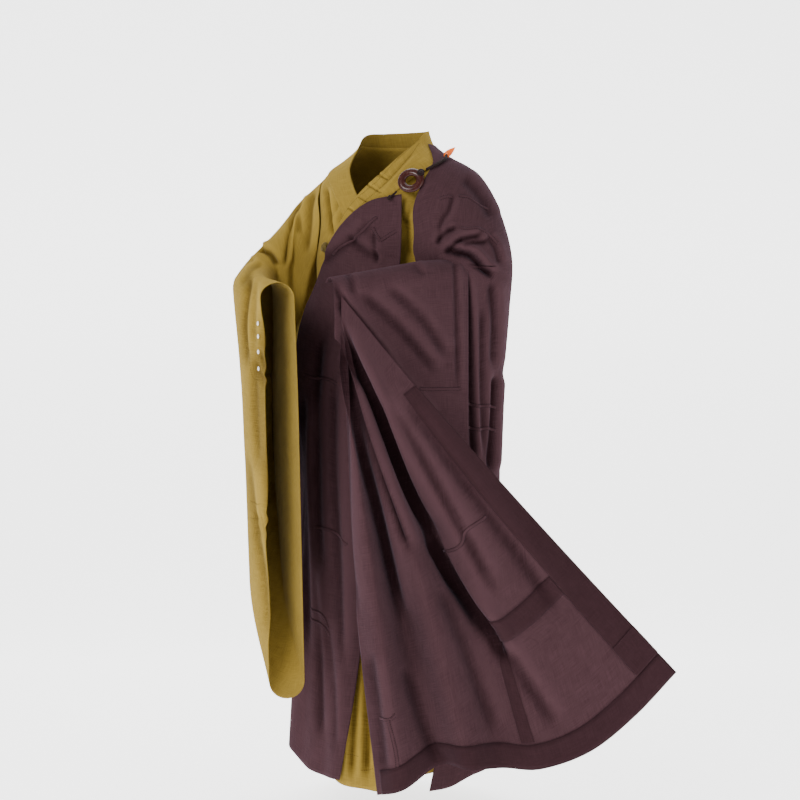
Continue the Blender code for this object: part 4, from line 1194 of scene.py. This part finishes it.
front_raw = robe_grid(RIGHT_SIDE_SEAM + SEAM_DEGREES, 37.0, 110, 190, end_edge=ROBE_END)
robe_front, robe_front_form = robe_shell("robe_front_shell", front_raw, ROBE_FRONT_FOLDS, ROBE_BACK_FOLDS)
side_raw = robe_grid(BACK_SEAM + SEAM_DEGREES, RIGHT_SIDE_SEAM - SEAM_DEGREES, 80, 120)
robe_side, robe_side_form = robe_shell("robe_right_back_shell", side_raw, (), ROBE_BACK_FOLDS)
back_raw = robe_grid(LEFT_SEAM + SEAM_DEGREES, BACK_SEAM - SEAM_DEGREES, 70, 120)
robe_back, robe_back_form = robe_shell("robe_left_back_shell", back_raw, (), ROBE_BACK_FOLDS)
over_raw = robe_grid(-325.0, LEFT_SEAM - SEAM_DEGREES, 110, 300, start_edge=TUCKED_EDGE)
robe_over, robe_over_form = robe_shell("robe_shoulder_shell", over_raw, ROBE_SHOULDER_FOLDS, ROBE_BACK_FOLDS)
drape, drape_form = robe_shell("robe_forearm_drape_shell", drape_grid(), DRAPE_FOLDS)
swung, swung_form = robe_shell("robe_swung_panel_shell", swung_grid(), SWUNG_CREASES, outward=-1)
print("free corner spans in metres:", np.ptp(swung_form.reshape(-1, 3), axis=0).round(3))

# %% [markdown]
# ## Bands and the corner patch
#
# A patched robe is finished with doubled strips of its own cloth: a wide border along the free
# edge, a narrow one along the hem, strips between the patches and a square where border and hem
# meet. Two layers let less light through, so each band is painted darker than the field, as painted
# shade. Every band lies on the panel's own form, moved out by its thickness.

# %% Bands
BAND_RISE = (ROBE_WALL + BAND_WALL) / 2 + BAND_TOUCH
LAYER_RISE = BAND_WALL + BAND_TOUCH
HEM_SHARE = 0.955
LAST_RAY = len(SWUNG_FOLDS) - 1


def field_ray(share):
    """A line down the field: a share of the way from the folds to the border."""
    return lambda along: FOLDS_END + (border_ray(along) - FOLDS_END) * share


# Name, first and last line across, first and last share down, and layer.
BANDS = (
    ("robe_border_band", border_ray, LAST_RAY, 0.320, 0.951, 1),
    ("robe_hem_band", 0.2222, LAST_RAY, 0.955, 1.0, 1),
    ("robe_cross_band", field_ray(0.1), field_ray(0.996), 0.725, 0.765, 1),
    ("robe_strip_band", field_ray(0.2), field_ray(0.3), 0.769, 0.951, 1),
    ("robe_corner_patch", border_ray, LAST_RAY, 0.890, 0.951, 2),
)


def panel_part(first, last, top, low, wide, high):
    """A part of the swung panel's form between two lines across it and two shares down it."""
    along = np.linspace(top, low, high)[None, :]
    first, last = (line(along) if callable(line) else line + 0 * along for line in (first, last))
    share = np.linspace(0, 1, wide)[:, None]
    return folded(swung_point(first + (last - first) * share, along), SWUNG_CREASES, (), -1)


def band(name, first, last, top, low, layer):
    """One doubled strip, a shell that lies on the panel."""
    wide, high = (140, 6) if low - top < 0.05 else (24, 90)
    grid, painted_fold_shade = panel_part(first, last, top, low, wide, high)
    rise = BAND_RISE + (layer - 1) * LAYER_RISE
    grid = grid - grid_normals(grid, False) * rise
    made = shell(name + "_shell", grid, BAND_CLOTH, band_cloth, painted_fold_shade)
    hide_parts(name)
    return made


bands = [band(*row) for row in BANDS]
print("bands:", [made.name for made in bands])

# %% [markdown]
# ## Seams and stitches
#
# Patches are joined by flat seams: one edge folded over the other and sewn down twice, which
# leaves a raised line some six millimetres wide between two rows of stitches. A seam here is a
# ribbon that follows the folded cloth, and each stitch is a small grain of thread, three
# millimetres long. The collar has rows of stitches that stiffen it.

# %% Seams
SEAM_WIDE = 0.0056
SEAM_THICK = 0.0004
STITCH_LONG = 0.0034
STITCH_PITCH = 0.0042
STITCH_WIDE = 0.0013


def nearest_place(grid, place, turned_away):
    """The row and column of the vertex that shows nearest to a place, on the side toward the eye."""
    right, up, near = as_seen(grid)
    away = (right - place[0]) ** 2 + (up - place[1]) ** 2 + turned_away
    i, j = np.unravel_index(np.argmin(away), away.shape)
    return float(i), float(j)


def read_grid(values, rows):
    """Values of a grid between its vertices, at fractional rows and columns."""
    i = np.clip(rows[..., 0], 0, values.shape[0] - 1.001)
    j = np.clip(rows[..., 1], 0, values.shape[1] - 1.001)
    low_i, low_j = i.astype(int), j.astype(int)
    share_i, share_j = (i - low_i)[..., None], (j - low_j)[..., None]
    near_row = values[low_i, low_j] * (1 - share_i) + values[low_i + 1, low_j] * share_i
    far_row = values[low_i, low_j + 1] * (1 - share_i) + values[low_i + 1, low_j + 1] * share_i
    return near_row * (1 - share_j) + far_row * share_j


def line_on(grid, places, outward, gap, count):
    """Points, side directions and normals of a line laid on the grid through places as seen."""
    toward_eye = seen(0.0, EYE_UP, EYE_DISTANCE) - grid
    turned_away = np.sum(grid_normals(grid, False) * outward * toward_eye, axis=-1) < 0
    rows = np.array([nearest_place(grid, place, turned_away) for place in places])
    rows = through(np.arange(len(rows)), rows, np.linspace(0, len(rows) - 1, count))
    normal = unit(read_grid(grid_normals(grid, False) * outward, rows))
    points = read_grid(grid, rows) + normal * gap
    ahead = unit(np.gradient(points, axis=0))
    return points, unit(np.cross(normal, ahead)), normal


def seam(name, grid, places, outward, skin, material, count=60):
    """A flat seam's ribbon: a low arch across, as long as its line."""
    points, side, normal = line_on(grid, places, outward, skin / 2 + SEAM_THICK / 2 + 0.0001, count)
    share = np.linspace(-1, 1, 5)
    lift = normal[:, None] * ((1 - share ** 2) * SEAM_THICK)[None, :, None]
    ribbon = points[:, None] + side[:, None] * (share * SEAM_WIDE / 2)[None, :, None] + lift
    made = shell(name, ribbon[::-1] if outward > 0 else ribbon, SEAM_THICK, material)
    return made


def grain():
    """A stitch as a long six-pointed grain of thread, 1 long, 1 wide and 1 high."""
    points = np.array([(-.5, 0, 0), (.5, 0, 0), (0, -.5, 0), (0, .5, 0), (0, 0, -.2), (0, 0, .5)], float)
    faces = np.array([(0, 2, 5), (2, 1, 5), (1, 3, 5), (3, 0, 5), (2, 0, 4), (1, 2, 4), (3, 1, 4), (0, 3, 4)])
    return points, faces


def stitches(name, grid, lines, outward, skin, material):
    """Rows of stitches along lines laid on a grid. A row is its side offset and its places."""
    local, corners = grain()
    all_points, all_faces, count = [], [], 0
    for offset, places in lines:
        points, side, normal = line_on(grid, places, outward, skin / 2 + 0.0002, 120)
        points = points + side * offset
        step = np.linalg.norm(np.diff(points, axis=0), axis=1)
        run = np.concatenate([[0], np.cumsum(step)])
        at = np.arange(STITCH_PITCH / 2, run[-1], STITCH_PITCH)
        centre = np.stack([np.interp(at, run, points[:, k]) for k in range(3)], axis=-1)
        across = unit(np.stack([np.interp(at, run, side[:, k]) for k in range(3)], axis=-1))
        out = unit(np.stack([np.interp(at, run, normal[:, k]) for k in range(3)], axis=-1))
        ahead = np.cross(across, out)
        parts = local[:, 0:1] * STITCH_LONG * ahead[:, None] + local[:, 1:2] * STITCH_WIDE * across[:, None]
        parts = parts + local[:, 2:3] * STITCH_WIDE * out[:, None] + centre[:, None]
        all_points.append(parts.reshape(-1, 3))
        numbers = np.arange(len(at))[:, None, None] * len(local) + corners[None] + count
        all_faces.append(numbers.reshape(-1, 3))
        count += len(at) * len(local)
    made = mesh_of(name, np.concatenate(all_points), np.concatenate(all_faces), material)
    return made


def thread(name, colour):
    """Sewing thread: a plain colour that changes a little from stitch to stitch."""
    made, surface, start = new_material(name)
    body = start.node("ShaderNodeTexCoord", output="Object")
    tone = body.noise(300.0, 1.0)
    dark = tuple(part * 0.6 for part in colour)
    plug(surface, "Base Color", tone.mixed((*dark, 1.0), (*colour, 1.0)))
    fixed(surface, Roughness=0.8, Specular_IOR_Level=0.05)
    return made


gown_thread = thread("gown_thread", (0.052, 0.032, 0.007))
robe_thread = thread("robe_thread", (0.010, 0.005, 0.006))

ROBE_FRONT_SEAMS = (
    ((-0.205, 0.952), (-0.168, 0.944), (-0.130, 0.932)),
    ((-0.182, 0.610), (-0.146, 0.602), (-0.106, 0.568)),
    ((-0.190, 0.426), (-0.166, 0.410), (-0.150, 0.384)),
    ((-0.190, 0.404), (-0.166, 0.390), (-0.148, 0.366)),
    ((-0.050, 1.285), (-0.032, 1.256)),
    ((-0.032, 1.256), (0.000, 1.278)),
    ((-0.140, 1.222), (-0.090, 1.258), (-0.040, 1.306)),
)
ROBE_OVER_SEAMS = (
    ((0.102, 1.347), (0.116, 1.352), (0.129, 1.355)),
    ((0.143, 1.356), (0.165, 1.353), (0.184, 1.339), (0.209, 1.324)),
    ((0.146, 1.284), (0.162, 1.280), (0.190, 1.282), (0.212, 1.270), (0.232, 1.248)),
    ((0.160, 0.888), (0.190, 0.882), (0.226, 0.878)),
    ((0.160, 0.834), (0.190, 0.830), (0.226, 0.826)),
)
DRAPE_SEAMS = (
    ((0.056, 0.922), (0.100, 0.922), (0.148, 0.922)),
)
SWUNG_SEAMS = (
    ((0.104, 0.558), (0.156, 0.598), (0.206, 0.632)),
    ((-0.034, 0.180), (-0.012, 0.180), (0.000, 0.186)),
    ((-0.016, 0.174), (0.002, 0.100), (0.012, 0.020)),
)
sewn_robe = {}
for place, form, table, outward in (
    ("front", robe_front_form, ROBE_FRONT_SEAMS, 1),
    ("shoulder", robe_over_form, ROBE_OVER_SEAMS, 1),
    ("forearm", drape_form, DRAPE_SEAMS, 1),
    ("swung", swung_form, SWUNG_SEAMS, -1),
):
    stem = f"robe_{place}_seam"
    made = [
        seam(f"{stem}_{number}", form, places, outward, ROBE_CLOTH, robe_cloth)
        for number, places in enumerate(table, 1)
    ]
    rows = [(side * SEAM_WIDE * 0.62, places) for places in table for side in (1, -1)]
    made.append(stitches(f"{stem}_stitches", form, rows, outward, ROBE_CLOTH, robe_thread))
    sewn_robe[place] = made

COLLAR_ROWS = (
    ((0.046, 1.492), (0.000, 1.432), (-0.046, 1.384), (-0.092, 1.345), (-0.132, 1.298)),
    ((0.054, 1.474), (0.012, 1.420), (-0.034, 1.372), (-0.080, 1.330), (-0.122, 1.284)),
    ((-0.048, 1.410), (-0.014, 1.391)),
    ((-0.064, 1.380), (-0.030, 1.361)),
    ((-0.084, 1.352), (-0.050, 1.333)),
    ((-0.108, 1.328), (-0.080, 1.311)),
)
# A facing is sewn in behind the snaps: one row down its side, one along its foot, and two lower.
SLEEVE_ROWS = (
    ((-0.328, 1.010), (-0.326, 0.976), (-0.323, 0.946)),
    ((-0.323, 0.946), (-0.312, 0.944), (-0.300, 0.943)),
    ((-0.326, 0.668), (-0.312, 0.662), (-0.298, 0.664)),
    ((-0.326, 0.634), (-0.312, 0.628), (-0.298, 0.630)),
)
HEM_ROWS = (
    ((-0.118, 0.106), (-0.100, 0.099), (-0.084, 0.092)),
    ((-0.080, 0.066), (-0.064, 0.065), (-0.046, 0.063)),
)


def gown_stitches(name, form, table, outward=1):
    rows = [(0.0, row) for row in table]
    return [stitches(name, form, rows, outward, GOWN_CLOTH, gown_thread)]


sewn_collar = gown_stitches("gown_collar_stitches", collar_left_form, COLLAR_ROWS, -1)
sewn_sleeve = gown_stitches("gown_sleeve_stitches", right_sleeve_form, SLEEVE_ROWS)
sewn_left_front = gown_stitches("gown_hem_stitches", left_front_form, HEM_ROWS)
print("pieces sewn on the robe:", sum(len(made) for made in sewn_robe.values()))

# %% [markdown]
# ## The clasp
#
# The robe is held by a turned ring of dark red-brown lacquer and a hook that ends in an amber
# leaf. The ring would be turned on a lathe from hardwood and polished. The hook's rod is bound in
# dark cord, and the leaf is cut and polished from a clear orange stone, with a low ridge along
# its middle. A short cord loops round the ring and ends in a knot.

# %% Ring, hook, leaf and cords
def on_robe(turn, up, out):
    """A place over the robe at the shoulder, out from its outer skin."""
    skin = robe_out(up) + ROBE_WALL / 2
    return over_body(np.asarray(turn, float), np.asarray(up, float), skin + out, bulge=1.0)


def tube(name, route, radii, material, around=20, count=120, twist=0.0, strands=1):
    """A cord or rod along a smooth route; strands gives it a twisted, lobed section."""
    route = np.array(route, float)
    points = through(np.arange(len(route)), route, np.linspace(0, len(route) - 1, count))
    share = np.linspace(0, 1, count)
    ahead = unit(np.gradient(points, axis=0))
    side = unit(np.cross(ahead, [0.3, 0.2, 1.0]))
    up = np.cross(ahead, side)
    roll = np.linspace(0, 2 * math.pi, around, endpoint=False)
    radius = np.interp(share, np.linspace(0, 1, len(radii)), radii)[:, None]
    if strands > 1:
        radius = radius * (1 + 0.10 * np.cos(strands * (roll[None, :] - twist * share[:, None])))
    wheel = side[:, None] * np.cos(roll)[None, :, None] + up[:, None] * np.sin(roll)[None, :, None]
    grid = points[:, None] + wheel * radius[..., None]
    number = np.arange(count * around).reshape(count, around)
    beside = np.roll(number, -1, axis=1)
    faces = np.stack([number[:-1], beside[:-1], beside[1:], number[1:]], -1).reshape(-1, 4)
    ends = [np.stack([number[0, 0] + 0 * number[0, 1:-1], number[0, 2:], number[0, 1:-1], number[0, 1:-1]], -1),
            np.stack([number[-1, 0] + 0 * number[-1, 1:-1], number[-1, 1:-1], number[-1, 2:], number[-1, 2:]], -1)]
    return close_mesh(name, grid.reshape(-1, 3), faces, [end[:, :3] for end in ends], material)


def close_mesh(name, points, quads, triangles, material):
    """A smooth mesh of four-cornered faces and three-cornered ends."""
    mesh = bpy.data.meshes.new(name)
    faces = quads.tolist() + [row for part in triangles for row in part.tolist()]
    mesh.from_pydata(points.tolist(), [], faces)
    mesh.validate()
    mesh.shade_smooth()
    mesh.materials.append(material)
    thing = bpy.data.objects.new(name, mesh)
    bpy.context.scene.collection.objects.link(thing)
    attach(thing, "root")
    return thing


def egg(name, centre, radii, axis, material, shape=None, around=40, rings=28):
    """An egg about an axis; shape may bend its surface, given the two angles."""
    turn = np.linspace(0, 2 * math.pi, around, endpoint=False)[None, :]
    tilt = np.linspace(0, math.pi, rings)[1:-1, None]
    x, y, z = np.cos(turn) * np.sin(tilt), np.sin(turn) * np.sin(tilt), np.cos(tilt) + 0 * turn
    grid = np.stack([x, y, z], axis=-1)
    if shape is not None:
        grid = shape(grid, turn, tilt)
    places = np.concatenate([grid.reshape(-1, 3), [(0, 0, 1), (0, 0, -1)]]) * radii
    lean = Vector((0, 0, 1)).rotation_difference(Vector(axis)).to_matrix()
    places = places @ np.array(lean).T + centre
    number = np.arange(grid.shape[0] * around).reshape(-1, around)
    beside = np.roll(number, -1, axis=1)
    quads = np.stack([number[:-1], number[1:], beside[1:], beside[:-1]], -1).reshape(-1, 4)
    pole = number.size
    top = np.stack([number[0], beside[0], pole + 0 * number[0]], -1)
    low = np.stack([beside[-1], number[-1], pole + 1 + 0 * number[0]], -1)
    return close_mesh(name, places, quads, [top, low], material)


def polished(name, colour, deep, rough, streak, coat=0.6, clear=0.0):
    """Lacquered wood or cut stone: streaks under a clear coat."""
    made, surface, start = new_material(name)
    body = start.node("ShaderNodeTexCoord", output="Object")
    grain_wire = body.stretched(streak, streak, streak * 0.2).noise(1.0, 4.0)
    plug(surface, "Base Color", grain_wire.mixed((*deep, 1.0), (*colour, 1.0)))
    plug(surface, "Roughness", grain_wire * 0.1 + rough)
    fixed(surface, Coat_Weight=coat, Coat_Roughness=0.12, Transmission_Weight=clear)
    fixed(surface, Specular_IOR_Level=0.22)
    return made


def cord_finish(name, colour):
    made, surface, start = new_material(name)
    body = start.node("ShaderNodeTexCoord", output="Object")
    fibre = body.stretched(500.0, 500.0, 900.0).noise(1.0, 3.0)
    dark = tuple(part * 0.4 for part in colour)
    plug(surface, "Base Color", fibre.mixed((*dark, 1.0), (*colour, 1.0)))
    bumped(surface, start, fibre, 0.5, 0.0005)
    fixed(surface, Roughness=0.6, Specular_IOR_Level=0.06)
    return made


lacquer = polished("ring_lacquer_polished", (0.055, 0.007, 0.004), (0.006, 0.001, 0.001), 0.22, 220.0, 0.12)
amber = polished("amber_cut", (0.900, 0.190, 0.010), (0.620, 0.075, 0.004), 0.20, 160.0, 0.2)
cord_dark = cord_finish("dark_cord_twisted", (0.022, 0.012, 0.012))


def ring_mesh():
    """The turned ring: a torus of oval section with a fine groove turned on its face."""
    middle = on_robe(RING_TURN, RING_UP, RING_THICK / 2 + CLASP_CLEAR)
    axis = unit(middle - on_robe(RING_TURN, RING_UP, 0.0))
    first = unit(np.cross(axis, [0.0, 0.3, 1.0]))
    second = np.cross(axis, first)
    turn = np.linspace(0, 2 * math.pi, 128, endpoint=False)[:, None, None]
    roll = np.linspace(0, 2 * math.pi, 48, endpoint=False)[None, :, None]
    out = first * np.cos(turn) + second * np.sin(turn)
    groove = 1 - 0.06 * np.exp(-((roll - math.pi / 2) / 0.16) ** 2)
    points = middle + out * (RING_RADIUS + RING_HALF * np.cos(roll) * groove)
    points = points + axis * RING_THICK / 2 * np.sin(roll) * groove
    number = np.arange(points.shape[0] * points.shape[1]).reshape(points.shape[:2])
    ahead, aside = np.roll(number, -1, axis=0), np.roll(number, -1, axis=1)
    faces = np.stack([number, ahead, np.roll(ahead, -1, axis=1), aside], -1).reshape(-1, 4)
    return mesh_of("clasp_ring_turned", points.reshape(-1, 3), faces, lacquer)


def leaf_shape(grid, turn, tilt):
    """A leaf: pointed at its far end, and ridged along the middle of its face."""
    taper = 1 - 0.55 * soft_step((1 - tilt / math.pi) * 1.2) ** 2
    taper = np.where(tilt < 1.3, taper * soft_step(tilt / 1.3 + 0.15), taper)
    ridge = 1 + 0.16 * np.abs(np.sin(turn)) ** 6
    return grid * np.stack([taper * ridge, taper * ridge, 1 + 0 * ridge * taper], axis=-1)


def knot_shape(grid, turn, tilt):
    """A tied knot: three turns of cord wound round an egg."""
    wound = 1 + 0.13 * np.cos(6 * tilt + 2 * turn)
    return grid * wound[..., None]


ring = ring_mesh()
hook_route = [on_robe(turn, up, out) for turn, up, out in HOOK_ROUTE]
hook = tube("clasp_hook_bound", hook_route, [HOOK_RADIUS, HOOK_RADIUS * 1.1, HOOK_RADIUS], cord_dark,
            count=160, twist=60.0, strands=3)
hook_way = unit(hook_route[-1] - hook_route[-2])
leaf_way = unit(seen(*LEAF_TIP, 0.0) - seen(*LEAF_FOOT, 0.0))
leaf_place = hook_route[-1] + leaf_way * (CUT_LEAF_RADII[2] - LEAF_IN_BINDING)
leaf = egg("clasp_leaf_cut", leaf_place, CUT_LEAF_RADII, leaf_way, amber, leaf_shape)
loop_route = [on_robe(turn, up, out) for turn, up, out in LOOP_ROUTE]
loop = tube("clasp_loop_cord", loop_route, [LOOP_RADIUS, LOOP_RADIUS], cord_dark, count=60, twist=24.0, strands=3)
loop_way = unit(loop_route[-1] - loop_route[-2])
knot = egg("clasp_knot_tied", loop_route[-1] + loop_way * (KNOT_RADII[2] + SEAM_GAP), KNOT_RADII, loop_way,
           cord_dark, knot_shape)
for piece, node, slot_name in (
    (ring, "clasp_ring", "ring_lacquer"),
    (hook, "clasp_hook", "dark_cord"),
    (leaf, "clasp_leaf", "amber"),
    (loop, "clasp_loop", "dark_cord"),
    (knot, "clasp_knot", "dark_cord"),
):
    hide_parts(node)
over_knot = egg("clasp_ring_wrap", on_robe(52.0, 1.384, 0.0085), (0.0075, 0.0075, 0.0095), hook_way, cord_dark,
                knot_shape)
print("clasp pieces:", 6)

# %% [markdown]
# ## Snaps and the side tie
#
# Small shell snaps close the sleeve's mouth. Their caps are pressed from pearl shell and show a
# rim. The side tie is a knot of the gown's own cloth that holds the under front in place.

# %% Snaps and tie
def pearl(name):
    """Shell: pale, glossy and faintly clouded."""
    made, surface, start = new_material(name)
    body = start.node("ShaderNodeTexCoord", output="Object")
    cloud = body.noise(260.0, 3.0)
    plug(surface, "Base Color", cloud.mixed((0.52, 0.47, 0.40, 1.0), (0.80, 0.79, 0.75, 1.0)))
    fixed(surface, Roughness=0.18, Coat_Weight=0.5, Coat_Roughness=0.05)
    return made


pearl_shell = pearl("snap_pearl")
for number in range(1, len(SNAPS) + 1):
    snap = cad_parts[f"sleeve_snap_{number}"]
    snap.material_slots[0].material = pearl_shell

tie_turn, tie_up = np.array(TIE_TURN), np.array(TIE_UP)
tie_skin = underlap(tie_turn) + GOWN_WALL / 2
tie_place = over_body(tie_turn, tie_up, tie_skin + TIE_RADII[2])
tie_axis = unit(tie_place - over_body(tie_turn, tie_up, tie_skin))
tie_cloth = cloth("tie_cloth_woven", (0.110, 0.078, 0.024), (0.040, 0.026, 0.007), (1.0, 0.86, 0.55), 0.2, 0.86)
tie = egg("gown_side_tie_knot", tie_place, TIE_RADII, tie_axis, tie_cloth, knot_shape)
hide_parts("gown_side_tie")
print("tie at:", tie_place.round(3))

# %% [markdown]
# ## The cut
#
# Each sheet is listed and printed with the size that it was cut to. The widths and lengths come from the
# shells' own measures, rounded to what a cutter would mark, with the sleeve opened out flat.

# %% Sheets
def cut_area(thing):
    """Half the surface of a closed shell, which is the area of its cloth."""
    return sum(face.area for face in thing.data.polygons) / 2


# Piece, cut width and length in metres, the way it is held, and what carries it.
CUTS = (
    (left_front, (0.66, 1.46), 0.60, "hung", ["gown_collar_left"], sewn_left_front),
    (right_front, (0.56, 1.46), 0.46, "hung", ["gown_collar_right"], []),
    (gown_back, (0.72, 1.46), 0.80, "hung", ["gown_collar_left"], []),
    (collar_left, (0.062, 0.58), 0.035, "stretched", ["gown_left_front"], sewn_collar),
    (collar_right, (0.062, 0.50), 0.029, "stretched", ["gown_right_front"], []),
    (right_sleeve, (1.84, 0.66), 0.70, "draped", ["gown_back"], sewn_sleeve),
    (left_sleeve, (0.72, 0.62), 0.25, "draped", ["gown_back"], []),
    (robe_front, (0.52, 1.26), 0.40, "draped", ["gown_right_front"], sewn_robe["front"]),
    (robe_side, (0.46, 1.24), 0.41, "draped", ["gown_back"], []),
    (robe_back, (0.40, 1.40), 0.34, "draped", ["gown_back"], []),
    (robe_over, (0.50, 1.44), 0.36, "draped", ["gown_left_front"], sewn_robe["shoulder"]),
    (drape, (0.36, 0.60), 0.13, "draped", ["gown_left_sleeve"], sewn_robe["forearm"]),
    (swung, (1.16, 1.10), 0.56, "gathered", ["robe_forearm_drape"], sewn_robe["swung"]),
)
BAND_CUTS = (
    ((0.22, 0.66), 0.047),
    ((1.16, 0.05), 0.044),
    ((0.32, 0.05), 0.0125),
    ((0.04, 0.18), 0.0057),
    ((0.09, 0.08), 0.0060),
)

cuts = list(CUTS)
cuts += [(made, *cut, "laid", ["robe_swung_panel"], []) for made, cut in zip(bands, BAND_CUTS)]
for made, flat, area, held, carriers, sewn_on in cuts:
    print(f"{made.name}: {flat[0]:.3f} x {flat[1]:.3f} m, cut {area:.4f}, cloth {cut_area(made):.4f} m2")

# %% [markdown]
# ## Studio
#
# A photographer would roll out pale paper and light the cloth from high on the left with one
# large soft box, fill from the right with a second, and lift the paper to near white from behind.

# %% Stage and lights
FLOOR_UP = -SHOULDER_UP
PAPER_GLOW = 2.20


def plain(name, colour, rough):
    made, surface, start = new_material(name)
    body = start.node("ShaderNodeTexCoord", output="Object")
    tone = body.noise(0.8, 2.0)
    dim = tuple(part * 0.985 for part in colour)
    plug(surface, "Base Color", tone.mixed((*colour, 1.0), (*dim, 1.0)))
    fixed(surface, Roughness=rough, Emission_Color=(1.0, 1.0, 1.0, 1.0), Emission_Strength=PAPER_GLOW)
    return made


def backdrop():
    """Paper that runs along the floor and rises behind in one smooth bend."""
    across = np.linspace(-6, 6, 25)[:, None]
    run = np.linspace(0, 1, 60)[None, :]
    bend = np.clip((run - 0.5) / 0.15, 0, 1) * math.pi / 2
    back = -3.5 + 11.0 * np.minimum(run, 0.5) + 1.2 * np.sin(bend)
    rise = 1.2 * (1 - np.cos(bend)) + np.clip(run - 0.65, 0, None) * 14
    turn = np.array([[math.cos(VIEW_TURN), math.sin(VIEW_TURN)], [-math.sin(VIEW_TURN), math.cos(VIEW_TURN)]])
    flat = np.stack([across + 0 * back, back + 0 * across], axis=-1) @ turn
    points = np.concatenate([flat, (FLOOR_UP + rise + 0 * across)[..., None]], axis=-1)
    number = np.arange(points.shape[0] * points.shape[1]).reshape(points.shape[:2])
    faces = np.stack([number[:-1, :-1], number[1:, :-1], number[1:, 1:], number[:-1, 1:]], -1).reshape(-1, 4)
    mesh = bpy.data.meshes.new("studio_paper")
    mesh.from_pydata(points.reshape(-1, 3).tolist(), [], faces.tolist())
    mesh.shade_smooth()
    mesh.materials.append(plain("studio_paper_white", (0.90, 0.90, 0.90), 0.9))
    thing = bpy.data.objects.new("studio_paper", mesh)
    bpy.context.scene.collection.objects.link(thing)
    thing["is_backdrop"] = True


def soft_box(name, right, near, up, size, power):
    """A square soft light on a place given from the eye's side, aimed at the chest."""
    light = bpy.data.lights.new(name, "AREA")
    light.shape = "SQUARE"
    light.size = size
    light.energy = power
    lamp = bpy.data.objects.new(name, light)
    x = right * math.cos(VIEW_TURN) + near * math.sin(VIEW_TURN)
    y = right * math.sin(VIEW_TURN) - near * math.cos(VIEW_TURN)
    lamp.location = (x, y, up - SHOULDER_UP)
    aim = Vector((0, 0, -0.45)) - lamp.location
    lamp.rotation_euler = aim.to_track_quat("-Z", "Y").to_euler()
    bpy.context.scene.collection.objects.link(lamp)


backdrop()
soft_box("key_light", -2.2, 2.6, 2.9, 1.6, 130)
soft_box("fill_light", 2.6, 2.2, 1.6, 2.4, 45)
soft_box("top_light", 0.2, -0.6, 3.2, 1.8, 40)
world = bpy.data.worlds.new("studio_air")
world.use_nodes = True
world.node_tree.nodes["Background"].inputs["Color"].default_value = (1.0, 1.0, 1.0, 1.0)
world.node_tree.nodes["Background"].inputs["Strength"].default_value = 0.5
bpy.context.scene.world = world
print("lights:", 3)
corners = sum(len(face.vertices) - 2 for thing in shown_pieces() if thing.type == "MESH" for face in thing.data.polygons)
print("triangles in all:", corners)
